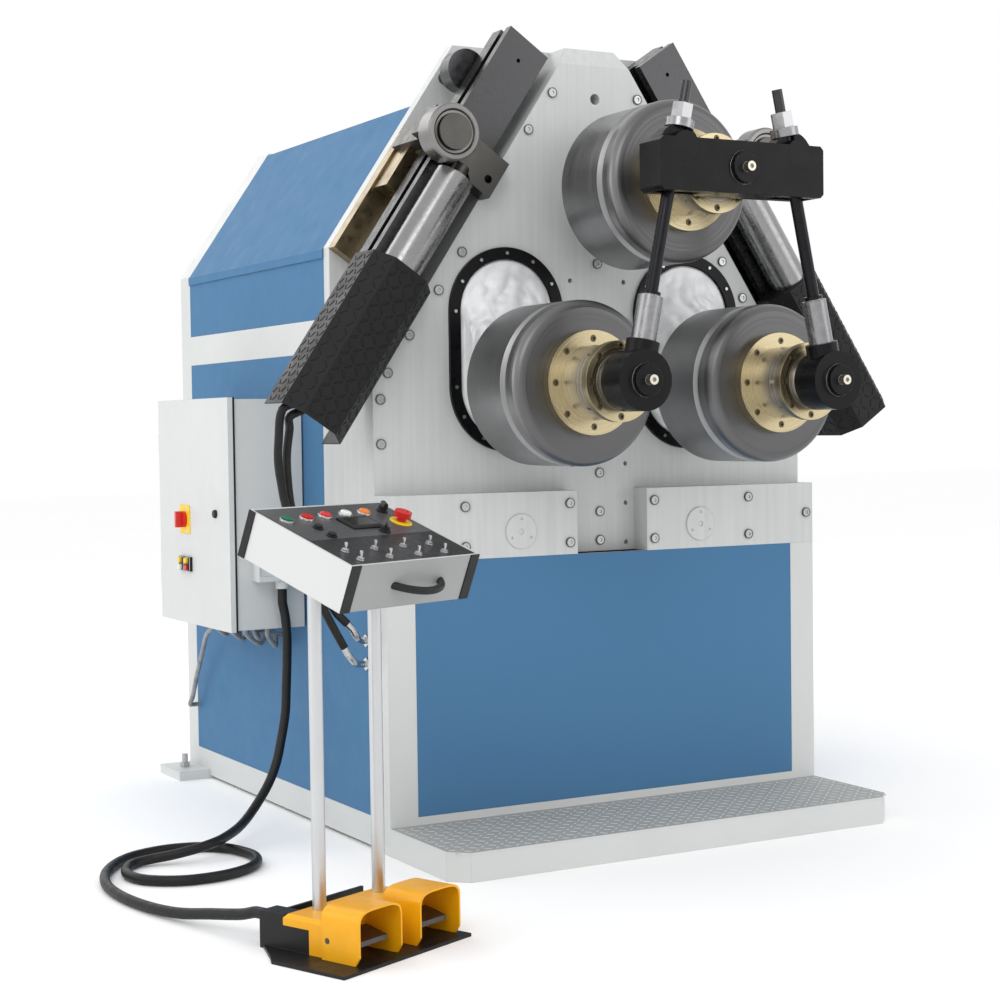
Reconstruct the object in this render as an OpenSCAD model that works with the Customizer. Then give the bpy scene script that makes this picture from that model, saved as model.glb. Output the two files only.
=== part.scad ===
// Angle roll bender: a hydraulic three-roll section bender with its cabinet,
// operator console and double foot pedal.
// X runs to the right along the front, Y to the back and Z up. The floor is Z = 0.

/* [Head and base] */
// Half width of the head, the base and the rear plate
half_w = 740; // [730:1:760]
// Depth of the head from its front face to the hood
head_d = 320; // [310:1:340]
// Thickness of the head's front wall, ahead of the slide slots
head_wall_t = 90; // [80:1:92]
// Height where the slanted shoulders start
shoulder_z = 1720; // [1710:1:1740]
// Lean of the shoulders from the vertical, in degrees
shoulder_a = 34; // [33.5:0.1:34.5]
// Height of the head's rear flange
flange_top_z = 2335; // [2310:1:2350]
// Height of the head's front boss
boss_top_z = 2302; // [2290:1:2308]
// Top of the base, where the head stands
base_top_z = 817; // [800:1:825]
// How far the base and the pivot bars stand ahead of the head's face
bar_proud = 72; // [66:1:80]
// Height of the top of the pivot bars
bar_top_z = 1003; // [990:1:1010]
// Half of the gap between the two pivot bars
bar_gap_half = 121; // [110:1:130]
// Front face of the rear plate
rear_y = 1460; // [1440:1:1480]
// Thickness of the rear plate
rear_t = 90; // [70:1:100]
// Half width of the flat top of the hood
hood_top_half = 446; // [430:1:460]
// Height of the hood's top
hood_top_z = 2152; // [2140:1:2160]
// Height of the hood's lower edge
hood_low_z = 1513; // [1500:1:1525]
// Thickness of the foot plates
foot_t = 30; // [20:1:35]

/* [Rolls] */
// Radius of the three bending rolls
roll_r = 225; // [215:1:228]
// Distance of the lower roll axes from the centre plane
roll_x = 312; // [310:1:320]
// Height of the lower roll axes at the bottom of their stroke
low_z = 1305; // [1300:1:1310]
// Height of the top roll axis
top_z = 1862; // [1855:1:1870]
// Distance of a roll's back face ahead of the head
roll_back = 160; // [155:1:170]
// Length of a roll
roll_len = 290; // [280:1:295]
// Radius of the roll shafts
shaft_r = 75; // [70:1:78]
// Radius of the journals at the shaft ends
journal_r = 45; // [40:1:48]
// Stroke of the lower rolls
stroke = 200; // [180:1:205]
// Running clearance of the journals
run_gap = 0.06; // [0.03:0.01:0.09]

/* [Tie yoke] */
// Distance of the trunnion axes from the centre plane
trunnion_x = 183; // [178:1:188]
// Height of the trunnion axes
trunnion_z = 1908; // [1902:1:1912]
// Plane of the tie rods, ahead of the head
tie_front = 685; // [683:1:687]
// Radius of a tie rod
tie_r = 17; // [15:0.5:18]
// Half length of the crosshead
cross_half = 262; // [258:1:275]
// Height of the crosshead
cross_h = 138; // [130:1:142]

/* [Guide units] */
// Width of the guide rail
rail_w = 147; // [140:1:150]
// Inset of the rail's axis from the shoulder
rail_in = 105; // [102:1:108]
// Upper end of the rail along the shoulder
rail_top = 774; // [750:1:790]
// Radius of the guide cylinder
barrel_r = 58; // [54:0.5:59]
// Radius of the guide roller
guide_roller_r = 80; // [74:1:82]
// Width of the tread-plate cover
cover_w = 206; // [200:1:208]
// Length of the tread-plate cover
cover_len = 505; // [480:1:510]

/* [Cabinet] */
// Depth of the cabinet box
cab_d = 215; // [195:5:235]
// Front side of the cabinet box
cab_y = 495; // [490:1:500]
// Width of the cabinet box
cab_w = 610; // [600:1:620]
// Height of the cabinet's underside
cab_z = 595; // [590:1:600]
// Height of the cabinet box
cab_h = 688; // [680:1:690]

/* [Console and pedals] */
// Width of the console
con_w = 439; // [430:1:450]
// Depth of the console along its slope
con_d = 330; // [325:1:340]
// Thickness of the console
con_t = 112; // [105:1:118]
// Tilt of the console, in degrees
con_tilt = 21; // [18:0.5:24]
// Turn of the console and the pedals about the vertical, in degrees
con_turn = 23; // [20:1:26]
// Spacing of the two poles
pole_gap = 204; // [200:1:206]
// Radius of a pole
pole_r = 16; // [15:0.5:17]

/* [Step] */
// Height of the step
step_z = 79; // [70:1:90]
// Depth of the step
step_d = 384; // [350:1:400]
// Corner cut of the step
step_cut = 48; // [40:1:60]

/* [Hidden] */

round_fn = 72;
fine_fn = 24;
hex_fn = 6;
over = 1;
seam = 0.3;
grey = [0.83, 0.84, 0.83];
blue = [0.27, 0.46, 0.64];
black = [0.06, 0.06, 0.06];
steel = [0.42, 0.42, 0.43];
dark_steel = [0.2, 0.2, 0.21];
plated = [0.72, 0.6, 0.36];
bright = [0.8, 0.8, 0.8];
yellow = [0.95, 0.7, 0.05];
red = [0.8, 0.1, 0.08];
green = [0.1, 0.4, 0.2];

wall_t = 15;
front_wall_t = 20;
panel_t = 3;
panel_half = 653;
panel_low_z = 102;
side_panel_y = 343;
low_panel_y = 0;
low_panel_drop = 27;
side_panel_low = 95;
side_panel_top = 1415;
front_foot_y = 30;
side_low_z = 10;
rear_foot_y = 1350;
lug_w = 110;
rear_back_y = rear_y + rear_t;
anchor_y = 1450;
anchor_r = 11;
rear_top_in = 6;
rear_top_rise = 8;
rear_top_half = hood_top_half - rear_top_in;
rear_top_z = hood_top_z + rear_top_rise;
rear_panel_half = 500;
rear_panel_low = 250;
rear_panel_top = 1300;
hood_t = 3;
hood_lip_t = 5;
hood_lip_h = 30;

rabbet_y = 280;
seat_y = 110;
boss_in = 218;
seat_in = 100;
bevel_d = 30;
bevel_h = 52;
plate_split_z = 1692;
window_r = 153;
window_lift = 215;
ring_r = 187;
ring_t = 12;
carriage_half = 165;
slot_gap = 0.3;
barrel_slot_half = 95;
pivot_z = 890;
pivot_r = 40;
pivot_end = 60;
cap_r = 50;
cap_t = 5;
cap_hole_r = 4;
cap_hole_as = [90, 210, 330];
cap_dimple_r = 8;
cap_pcd_r = 36;
lift_hole_r = 16;
lift_hole_d = 60;
lift_hole_z = 2153;
dowel_r = 7;
dowel_d = 25;
dowel_x = 93;
dowel_zs = [840, 958, 1076, 1617];

bolt_r = 12;
bolt_h = 5;
bolt_socket_r = 6;
edge_bolt_shares = [0.141, 0.277, 0.391, 0.753, 0.871];
edge_bolt_ins = [29, 35, 37, 21, 26];
side_bolts = [[47, 1345], [23, 1271], [23, 1146]];
mid_bolts = [850, 935, 1050, 1669];
bar_bolt_in = 26;
bar_bolt_xs = [bar_gap_half + bar_bolt_in, 492];
bar_bolt_zs = [966, 852];
bar_end_bolt = [half_w - bar_bolt_in, 911];
ring_bolt_r = 5;
ring_bolt_h = 4;
ring_bolt_pcd = 170;
ring_bolt_step = 30;
nut_r = 17;
nut_h = 16;
stud_top = 75;
stud_r = 10;

boot_n = 48;
boot_rows = 6;
boot_y = [-4, -132];
boot_in_r = 98;
boot_skin = 7;
boot_bulge = 26;

tread_t = 5;
skirt_t = 6;

tank_gap = 0.2;
tank_half = half_w - wall_t - tank_gap;
tank_y = [450, 1250];
tank_h = 480;
pump_r = 120;
pump_h = 430;
pump_x = 170;
pump_y = 850;
press_r = 90;
press_low = 470;
press_top = 1020;
press_y = 205;
rod_r = 45;
rod_low = 560;
drive_r = 140;
drive_y = 640;
top_drive_r = 150;
top_drive_y = 760;
drive_cap_r = 100;
drive_cap_l = 120;

chamfer_r = 18;
groove_at = 205;
groove_slope = 7;
groove_w = 16;
groove_depth = 12;
nose_r = 30;
nose_steps = 6;
collar_r = 95;
collar_gap = 3;
hub_r = 60;
fl1_r = 141;
fl1_t = 28;
sleeve_r = 100;
sleeve_len = 112;
fl2_r = 107;
fl2_t = 22;
spacer_len = 20;
journal_len = 104;
fit_gap = 0.2;
fl_hole_r = 9;
fl_holes = 8;
fl_hole_d = 14;
fl1_pcd = 118;
fl2_pcd = 92;
sleeve_slots = 8;
sleeve_slot_w = 9;
sleeve_slot_d = 8;
sleeve_slot_l = 34;
end_disc_r = 40;
end_disc_t = 11;
end_screw_r = 13;
end_screw_h = 22;
roll_front = roll_back + roll_len;
fl1_front = roll_front + fl1_t;
sleeve_front = fl1_front + sleeve_len;
fl2_front = sleeve_front + fl2_t;
hub_front = fl2_front + spacer_len;
journal_front = hub_front + journal_len;
shaft_back = 310;
carriage_front = 95;
carriage_back = 315;

eye_r = 80;
eye_t = 90;
eye_neck_r = 44;
eye_neck_top = 104;
cross_d = 100;
cross_edge = 10;
cross_slot_half = 64;
cross_slot_d = 40;
trunnion_r = 62;
trunnion_t = 39;
trunnion_pin_r = 40;
trunnion_flat = 52;
tie_hole_r = 24;
tie_dx = roll_x - trunnion_x;
tie_dz = trunnion_z - low_z;
tie_len = norm([tie_dx, tie_dz]);
tie_a = atan2(tie_dx, tie_dz);
turnbuckle_r = 33;
turnbuckle = [eye_neck_top, 222];
turnbuckle_neck_r = 25;
turnbuckle_neck = 12;
seat_nut_r = 38;
seat_nut_h = 23;
tie_nut_r = 30;
tie_nut_h = 42;
tie_stud_r = 14;
tie_stud_top = 795;

rail_steps = [0, 28, 58, seat_y];
rail_neck = 20;
rail_low = -60;
rail_hole_r = 6;
rail_hole_z = 705;
rail_hole_d = 20;
barrel_y = -48;
barrel_z = [-480, 278];
piston_r = 25;
piston_z = [-20, 292];
idler_r = 62;
idler_x = 30;
idler_z = 640;
idler_y = [130, 185];
idler_pin_r = 18;
bracket_w = 96;
bracket_t = 44;
bracket_z = [-5, 410];
slide_x = [-55, 222];
slide_y = [-58, -0.5];
slide_z = [292, 412];
slide_cut = [[120, 292], [150, 318]];
slide_hole = [190, 335];
slide_hole_r = 12;
arm_x = [-10, 28];
arm_back = 234;
arm_z = 345;
block_x = [8, 98];
block_y = [150, 234];
block_z = [212, 345];
block_holes = [[64, 246], [64, 302]];
block_hole_r = 11;
block_hole_d = 40;
roller_x = 8;
roller_z = 352;
roller_y = [-128, -62];
roller_pin_r = 30;
roller_cap_r = 50;
roller_cap_t = 8;
roller_step_r = 64;
roller_step = 5;
cover_x = 8;
cover_top = -40;
cover_front = -118;
cover_back = 62;
cover_cut = [47, 58];
cover_skin = 4;
hose_r = 12;
pipe_r = 10;
pipe_nut_r = 19;
pipe_nut_l = 18;

tube_sides = 10;
cord_gap = 0.15;
cord_lead = 40;
hose_lead = 25;
hose_ports = [[66, -36], [93, -25]];
hose_turns = [[31, -30, -552], [64, -18, -552]];
hose_runs = [[[286, -6, 1160], [282, 8, 1098], [273, 8, 1035], [262, 8, 981], [228, 8, 870], [190, 10, 770],
    [153, 12, 692], [124, 12, 637], [93, 12, 582]],
    [[246, 12, 1191], [247, 30, 1129], [245, 35, 1066], [236, 35, 981], [210, 35, 880], [165, 26, 765],
    [111, 12, 675], [84, 12, 649]]];
pipe_runs = [[[93, 12, 582], [81.5, 12, 561.6], [62, 20, 540], [42, 30, 531], [20, 35, 529], [0, 35, 529]],
    [[84, 12, 649], [69, 12, 634.6], [52, 20, 610], [36, 30, 599], [20, 35, 595], [0, 35, 595]]];

cab_skin = 4;
cab_gap = 5;
cab_back_x = half_w + cab_gap;
cab_x = cab_back_x + cab_d;
cab_stand_w = 60;
door_gap = 2;
door_t = 20;
door_lap = 5;
door_skin = 4;
plate_gap = 10;
plate_t = 5;
relay_d = 70;
relay_w = 60;
relay_h = 110;
relay_ys = [620, 710, 800, 890, 980];
relay_zs = [740, 960];
hinge_r = 8;
hinge_h = 60;
hinge_zs = [690, 1120];
switch_y = 872;
switch_z = 915;
switch_plate = 44;
switch_plate_t = 3;
switch_r = 25;
switch_base = 10;
switch_grip_w = 14;
switch_grip_h = 20;
lock_y = 602;
lock_z = 940;
lock_r = 11;
lock_t = 8;
unit_ys = [894, 838];
unit_z = 776;
unit_half = 22;
unit_t = 10;
unit_cap_r = 9;
unit_cap_t = 8;

plug_out = [50, 170];
plug_d = 60;
plug_z = [741, 800];
lever_t = 5;
lever_w = 16;
lever_run = 60;
gland_out = 90;
gland_in = 33;
gland_r = 20;
gland_h = 24;

wire_r = 8;
wire_drops = [[100, 560], [140, 640], [80, 720], [130, 800], [90, 880], [120, 960]];
wire_low = 528;
wire_wall_z = 552;
wire_lean = 60;
mains_run = [[110, 1000, cab_z], [110, 1000, 560], [100, 1080, 530], [75, 1170, 500], [55, 1260, 440],
    [45, 1340, 360], [40, 1400, 280], [35, 1440, 245], [0, 1440, 245]];

con_x = -1158;
con_y = -844;
con_z = 953;
con_skin = 5;
fascia_gap = 0.4;
fascia_t = 4;
fascia_drop = 1;
trim_t = 3;
trim_w = 30;
trim_side_w = 20;
grip_u = 20;
grip_w = -58;
grip_r = 9;
grip_half = 80;
grip_out = 43;
grip_past = 4;
grip_bend_r = (grip_half * grip_half + grip_out * grip_out) / (2 * grip_out);
grip_bend = asin(grip_half / grip_bend_r) + grip_past;
lamp_r = 14;
lamp_h = 10;
lamps = [[-41, 98], [30, 100], [97, 102]];
toggle_r = 8;
toggle_h = 8;
toggle_stick_r = 4;
toggle_stick_h = 18;
toggle_us = [-165, -68, 30, 122];
toggle_vs = [-90, -138];
toggles = [for (u = toggle_us) for (v = toggle_vs) [u, v]];
small_caps = [[-122, 40], [-124, -7]];
selector = [60, -2];
key_at = [168, 108];
key_r = 12;
key_h = 26;
display = [[-20, 22], [75, 76]];
display_h = 7;
estop_at = [165, 42];
estop_ring_r = 28;
estop_ring_h = 3;
estop_r = 21;
estop_h = 14;
estop_stem_r = 11;
estop_stem_h = 14;
start_at = [-176, 88];
stop_at = [-108, 92];
push_r = 14;
push_h = 10;
push_bezel_r = 17;
push_bezel_h = 6;
stem_d = 10;

pole_v = 72;
pole_low = 60;
tray_u = [-262, 176];
tray_v = [-150, 196];
tray_t = 8;
tray_wall_top = 72;
tray_cut = [[-262, 70], [-237, 99], [-166, 196]];
entry_u = [-178, -121];
entry_v = [31.3, 112, 190];
entry_low = 63.7;
entry_top = 86;
guard_us = [-118, 89];
guard_w = 145;
guard_v = [-130, -17];
guard_side = 85;
guard_crown = 45;
guard_power = 4;
guard_steps = 24;
guard_skin = 5;
guard_mouth = [13, 20];
lid_u = [-181, 150];
lid_v = [-16.7, 31, 112];
lid_z = [64, 90];
lid_edge = 9;
pedal_w = 92;
pedal_v = [-108, -44];
pedal_z = 42;
pedal_t = 12;
pedal_rise = 14;
pedal_pin_r = 7;
pedal_pin_z = 52;
pedal_pin_v = -34;

conduit_r = 14;
conduit_end = [-150, entry_v[2], 70];
conduit_run = [[-823, 459, 632], [-820, 456, 573], [-824, 450, 497], [-830, 444, 422],
    [-838, 436, 347], [-857, 424, 274], [-882, 408, 203], [-926, 382, 137], [-1013, 325, 65],
    [-1105, 229, 48], [-1197, 153, 45], [-1282, 165, 29], [-1345, 190, 18], [-1410, 164, 15],
    [-1450, 70, 15], [-1430, -20, 15], [-1350, -80, 15], [-1250, -86, 15], [-1160, -50, 15],
    [-1100, 20, 15], [-1080, 110, 15], [-1110, 220, 15], [-1180, 282, 15], [-1280, 296, 15],
    [-1390, 252, 15], [-1480, 140, 15], [-1530, 0, 15], [-1540, -140, 15], [-1520, -290, 16],
    [-1484, -420, 22], [-1440, -540, 40], [-1404, -640, 56]];

// Shared shapes

module bar3(a, b) {
    translate(a) cube(b - a);
}

module prism_y(y0, y1) {
    translate([0, y1, 0]) rotate([90, 0, 0]) linear_extrude(y1 - y0) children();
}

module prism_x(x0, x1) {
    translate([x0, 0, 0]) rotate([90, 0, 90]) linear_extrude(x1 - x0) children();
}

module disc_y(p, y0, y1, r, sides = round_fn) {
    translate([p[0], y1, p[1]]) rotate([90, 0, 0]) cylinder(h = y1 - y0, r = r, $fn = sides);
}

module disc_x(p, x0, x1, r, sides = fine_fn) {
    translate([x0, p[0], p[1]]) rotate([0, 90, 0]) cylinder(h = x1 - x0, r = r, $fn = sides);
}

module post(p, z0, z1, r, sides = fine_fn) {
    translate([p[0], p[1], z0]) cylinder(h = z1 - z0, r = r, $fn = sides);
}

module both_sides() {
    children();
    mirror([1, 0, 0]) children();
}

module on_shoulder() {
    translate([-half_w, 0, shoulder_z]) rotate([0, shoulder_a, 0]) children();
}

module on_console() {
    translate([con_x, con_y, con_z]) rotate([0, 0, con_turn]) rotate([con_tilt, 0, 0]) children();
}

module on_stand() {
    translate([con_x, con_y, 0]) rotate([0, 0, con_turn]) children();
}

module on_axis(x, z) {
    translate([x, 0, z]) rotate([90, 0, 0]) children();
}

function unit(v) = v / norm(v);
function heading(p, i) = unit(p[min(i + 1, len(p) - 1)] - p[max(i - 1, 0)]);
function carried(p, i, u) = let (t = heading(p, i), w = unit(u - (u * t) * t))
    i == len(p) - 1 ? [w] : concat([w], carried(p, i + 1, w));
function spline(a, b, c, d, t) = 0.5 * (2 * b + (c - a) * t + (2 * a - 5 * b + 4 * c - d) * t * t
    + (3 * b - a - 3 * c + d) * t * t * t);
function smooth(p, m) = let (e = len(p) - 1) concat([p[0] + cord_gap * unit(p[1] - p[0])],
    [for (i = [1 : e - 2]) for (j = [0 : m - 1]) spline(p[i - 1], p[i], p[i + 1], p[i + 2], j / m)],
    [p[e - 1], p[e] - cord_gap * unit(p[e] - p[e - 1])]);
function beside(p) = [-half_w - p[0], p[1], p[2]];
function shoulder_point(p) = [p[0] * cos(shoulder_a) + p[2] * sin(shoulder_a) - half_w, p[1],
    shoulder_z - p[0] * sin(shoulder_a) + p[2] * cos(shoulder_a)];
function stand_point(p) = [con_x + p[0] * cos(con_turn) - p[1] * sin(con_turn),
    con_y + p[0] * sin(con_turn) + p[1] * cos(con_turn), p[2]];

module tube(p, r, start) {
    n = tube_sides;
    last = len(p) - 1;
    axes = carried(p, 0, start);
    points = [for (i = [0 : last]) let (t = heading(p, i), a = axes[i], b = cross(t, a))
        for (k = [0 : n - 1]) p[i] + r * (cos(k * 360 / n) * a + sin(k * 360 / n) * b)];
    sides = [for (i = [0 : last - 1]) for (k = [0 : n - 1])
        [i * n + k, (i + 1) * n + k, (i + 1) * n + (k + 1) % n, i * n + (k + 1) % n]];
    caps = [[for (k = [0 : n - 1]) k], [for (k = [n - 1 : -1 : 0]) last * n + k]];
    polyhedron(points, concat(sides, caps));
}

module loop_skin(rows) {
    n = len(rows[0]);
    m = len(rows);
    points = [for (row = rows) each row];
    faces = [for (i = [0 : m - 1]) for (k = [0 : n - 1])
        [i * n + k, i * n + (k + 1) % n, ((i + 1) % m) * n + (k + 1) % n, ((i + 1) % m) * n + k]];
    polyhedron(points, faces);
}

module stadium(r, lift) {
    circle(r, $fn = round_fn);
    translate([0, lift]) circle(r, $fn = round_fn);
    translate([-r, 0]) square([2 * r, lift]);
}

function shoulder_low(inset) = shoulder_z - inset / sin(shoulder_a);
function head_outline(inset, top) = let (z1 = shoulder_low(inset),
    x2 = half_w - (top - z1) * tan(shoulder_a))
    [[-half_w, base_top_z], [-half_w, z1], [-x2, top], [x2, top], [half_w, z1], [half_w, base_top_z]];

// Base and head

module foot_plates() color(grey) {
    bar3([-half_w, -bar_proud, 0], [half_w, front_foot_y, foot_t]);
    difference() {
        bar3([-half_w - lug_w, rear_foot_y, 0], [half_w + lug_w, rear_back_y, foot_t]);
        for (s = [-1, 1]) post([s * (half_w + lug_w / 2), anchor_y], -over, foot_t + over, anchor_r);
    }
}

module front_wall() color(grey) difference() {
    bar3([-half_w, -bar_proud, foot_t], [half_w, front_wall_t - bar_proud, base_top_z]);
    bar3([-panel_half, -bar_proud - over, panel_low_z],
        [panel_half, panel_t - bar_proud, base_top_z + over]);
}

module side_panel_outline(edge) {
    low_top = base_top_z - low_panel_drop;
    back = edge > 0 ? rear_y - edge : rear_y + over;
    polygon([[low_panel_y + edge, side_panel_low + edge], [back, side_panel_low + edge],
        [back, side_panel_top - edge], [side_panel_y + edge, side_panel_top - edge],
        [side_panel_y + edge, low_top - edge], [low_panel_y + edge, low_top - edge]]);
}

module side_walls() color(grey) both_sides() difference() {
    prism_x(-half_w, wall_t - half_w) polygon([[front_wall_t - bar_proud, foot_t],
        [front_foot_y + seam, foot_t], [front_foot_y + seam, side_low_z], [rear_foot_y - seam, side_low_z],
        [rear_foot_y - seam, foot_t], [rear_y, foot_t], [rear_y, hood_low_z], [head_d, hood_low_z],
        [head_d, base_top_z], [front_wall_t - bar_proud, base_top_z]]);
    prism_x(-half_w - over, panel_t - half_w) side_panel_outline(0);
}

module head_block() color(grey) {
    past = over * bevel_h / bevel_d;
    difference() {
        intersection() {
            prism_y(0, head_wall_t) polygon(head_outline(boss_in, boss_top_z));
            bar3([-half_w, 0, base_top_z], [half_w, head_wall_t, plate_split_z]);
        }
        for (s = [-1, 1]) {
            prism_y(-over, head_wall_t + over) translate([s * roll_x, low_z])
                stadium(window_r, window_lift);
            disc_y([s * roll_x, pivot_z], -over, head_wall_t + over, pivot_r + slot_gap);
            for (z = dowel_zs) disc_y([s * dowel_x, z], -over, dowel_d, dowel_r, fine_fn);
        }
    }
    difference() {
        intersection() {
            prism_y(0, head_wall_t) polygon(head_outline(boss_in, boss_top_z));
            bar3([-half_w, 0, plate_split_z + fit_gap], [half_w, head_wall_t, flange_top_z]);
        }
        prism_x(-half_w, half_w) polygon([[-over, boss_top_z - bevel_h - past],
            [bevel_d + over, boss_top_z + past], [-over, boss_top_z + past]]);
        disc_y([0, top_z], -over, head_wall_t + over, shaft_r + run_gap);
        disc_y([0, lift_hole_z], -over, lift_hole_d, lift_hole_r, fine_fn);
    }
    difference() {
        union() {
            prism_y(rabbet_y, head_d) polygon(head_outline(0, flange_top_z));
            prism_y(seat_y, rabbet_y) polygon(head_outline(seat_in, boss_top_z));
            prism_y(head_wall_t + fit_gap, seat_y) polygon(head_outline(boss_in, boss_top_z));
        }
        for (s = [-1, 1]) {
            bar3([s * roll_x - carriage_half - slot_gap, head_wall_t, low_z - carriage_half - slot_gap],
                [s * roll_x + carriage_half + slot_gap, head_d + over,
                low_z + carriage_half + stroke + slot_gap]);
            bar3([s * roll_x - barrel_slot_half, head_wall_t, base_top_z - over],
                [s * roll_x + barrel_slot_half, head_d + over, low_z - carriage_half + over]);
        }
        disc_y([0, top_z], head_wall_t, head_d + over, shaft_r + run_gap);
    }
}

module rear_plate() color(grey) {
    prism_y(rear_y, rear_back_y) polygon([[-half_w, foot_t], [-half_w, shoulder_z],
        [-rear_top_half, rear_top_z], [rear_top_half, rear_top_z], [half_w, shoulder_z], [half_w, foot_t]]);
}

module hood_panels() color(blue) {
    rise = atan2(half_w - hood_top_half, hood_top_z - shoulder_z);
    fold = hood_t * tan(rise / 2);
    ridge = hood_t * tan((90 - rise) / 2);
    both_sides() prism_y(head_d + seam, rear_y - seam) union() {
        polygon([[-half_w, hood_low_z + seam], [-half_w, shoulder_z], [-hood_top_half, hood_top_z],
            [-seam, hood_top_z], [-seam, hood_top_z - hood_t], [ridge - hood_top_half, hood_top_z - hood_t],
            [hood_t - half_w, shoulder_z - fold], [hood_t - half_w, hood_low_z + seam]]);
        polygon([[-half_w, shoulder_z], [-half_w - hood_lip_t, shoulder_z - hood_lip_t],
            [-half_w - hood_lip_t, shoulder_z - hood_lip_h], [-half_w, shoulder_z - hood_lip_h]]);
    }
}

module skin_panels() color(blue) {
    bar3([seam - panel_half, -bar_proud, panel_low_z + seam],
        [panel_half - seam, panel_t - bar_proud, base_top_z]);
    both_sides() prism_x(-half_w, panel_t - half_w) side_panel_outline(seam);
    bar3([-rear_panel_half, rear_back_y, rear_panel_low],
        [rear_panel_half, rear_back_y + panel_t, rear_panel_top]);
}

module pivot_bars() color(grey) both_sides() {
    face = -bar_proud;
    difference() {
        bar3([bar_gap_half, -bar_proud, base_top_z], [half_w, 0, bar_top_z]);
        disc_y([roll_x, pivot_z], -pivot_end - over, over, pivot_r + slot_gap);
    }
    difference() {
        disc_y([roll_x, pivot_z], face - cap_t, face - fit_gap, cap_r);
        disc_y([roll_x, pivot_z], face - cap_t - over, face - cap_t / 2, cap_dimple_r, fine_fn);
        for (a = cap_hole_as) disc_y([roll_x + cap_pcd_r * cos(a), pivot_z + cap_pcd_r * sin(a)],
            face - cap_t - over, face - cap_t / 2, cap_hole_r, fine_fn);
    }
}

function edge_bolt(i) = let (z1 = shoulder_low(boss_in),
    run = edge_bolt_shares[i] * (boss_top_z - z1) / cos(shoulder_a))
    [half_w - run * sin(shoulder_a) - edge_bolt_ins[i] * cos(shoulder_a),
    z1 + run * cos(shoulder_a) - edge_bolt_ins[i] * sin(shoulder_a)];

module socket_bolt(p, y) {
    difference() {
        disc_y(p, y - bolt_h, y, bolt_r, fine_fn);
        disc_y(p, y - bolt_h - over, y - bolt_h / 2, bolt_socket_r, hex_fn);
    }
}

module frame_screws() color(bright) {
    both_sides() {
        for (i = [0 : len(edge_bolt_shares) - 1]) socket_bolt(edge_bolt(i), 0);
        for (p = side_bolts) socket_bolt([half_w - p[0], p[1]], 0);
        for (x = bar_bolt_xs) for (z = bar_bolt_zs) socket_bolt([x, z], -bar_proud);
        socket_bolt(bar_end_bolt, -bar_proud);
        for (a = [0 : ring_bolt_step : 180]) {
            disc_y([roll_x + ring_bolt_pcd * cos(a), low_z + window_lift + ring_bolt_pcd * sin(a)],
                -ring_t - ring_bolt_h, -ring_t, ring_bolt_r, fine_fn);
            disc_y([roll_x + ring_bolt_pcd * cos(a), low_z - ring_bolt_pcd * sin(a)],
                -ring_t - ring_bolt_h, -ring_t, ring_bolt_r, fine_fn);
        }
        translate([half_w + lug_w / 2, anchor_y, 0]) {
            cylinder(h = stud_top, r = stud_r, $fn = fine_fn);
            translate([0, 0, foot_t]) cylinder(h = nut_h, r = nut_r, $fn = hex_fn);
        }
    }
    for (z = mid_bolts) socket_bolt([0, z], 0);
}

module window_rings() color(black) both_sides() prism_y(-ring_t, 0) translate([roll_x, low_z])
    difference() {
        stadium(ring_r, window_lift);
        stadium(window_r, window_lift);
    }

function boot_angle(k) = 360 * (k + 0.5) / boot_n;
function boot_edge(a) = (window_r - slot_gap) * [cos(a), sin(a)] + [0, a < 180 ? window_lift : 0];
function boot_depth(f) = boot_y[0] + (boot_y[1] - boot_y[0]) * f - boot_bulge * sin(180 * f);
function boot_row(f, back) = [for (k = [0 : boot_n - 1]) let (a = boot_angle(k), e = boot_edge(a),
    q = e + (boot_in_r * [cos(a), sin(a)] - e) * f) [roll_x + q[0], boot_depth(f) + back, low_z + q[1]]];

module boot() {
    loop_skin(concat([for (i = [0 : boot_rows]) boot_row(i / boot_rows, 0)],
        [for (i = [boot_rows : -1 : 0]) boot_row(i / boot_rows, boot_skin)]));
}

module left_boot() color(bright) mirror([1, 0, 0]) boot();

module right_boot() color(bright) boot();

module step_platform() color(grey) {
    front = -bar_proud - step_d;
    skirt_top = step_z - tread_t - fit_gap;
    turn = step_cut * sqrt(2);
    translate([0, 0, step_z - tread_t]) linear_extrude(tread_t) polygon([[-half_w, -bar_proud - fit_gap],
        [-half_w, front + step_cut], [step_cut - half_w, front], [half_w - step_cut, front],
        [half_w, front + step_cut], [half_w, -bar_proud - fit_gap]]);
    bar3([step_cut - half_w, front, 0], [half_w - step_cut, front + skirt_t, skirt_top]);
    both_sides() {
        bar3([-half_w, front + step_cut, 0], [skirt_t - half_w, -bar_proud - fit_gap, skirt_top]);
        translate([-half_w, front + step_cut, 0]) rotate([0, 0, -45])
            bar3([fit_gap, 0, 0], [turn - fit_gap, skirt_t, skirt_top]);
    }
}

module power_unit() color(steel) {
    bar3([-tank_half, tank_y[0], 0], [tank_half, tank_y[1], tank_h]);
    post([pump_x, pump_y], tank_h, tank_h + pump_h, pump_r, round_fn);
    for (s = [-1, 1]) difference() {
        union() {
            post([s * roll_x, press_y], press_low, press_top, press_r, round_fn);
            disc_y([s * roll_x, pivot_z], -pivot_end, press_y, pivot_r);
        }
        post([s * roll_x, press_y], rod_low - over, press_top + over, rod_r + run_gap, round_fn);
    }
    disc_y([0, top_z], head_d, top_drive_y, top_drive_r);
    disc_y([0, top_z], top_drive_y, top_drive_y + drive_cap_l, drive_cap_r);
}

// Roll train

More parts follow.
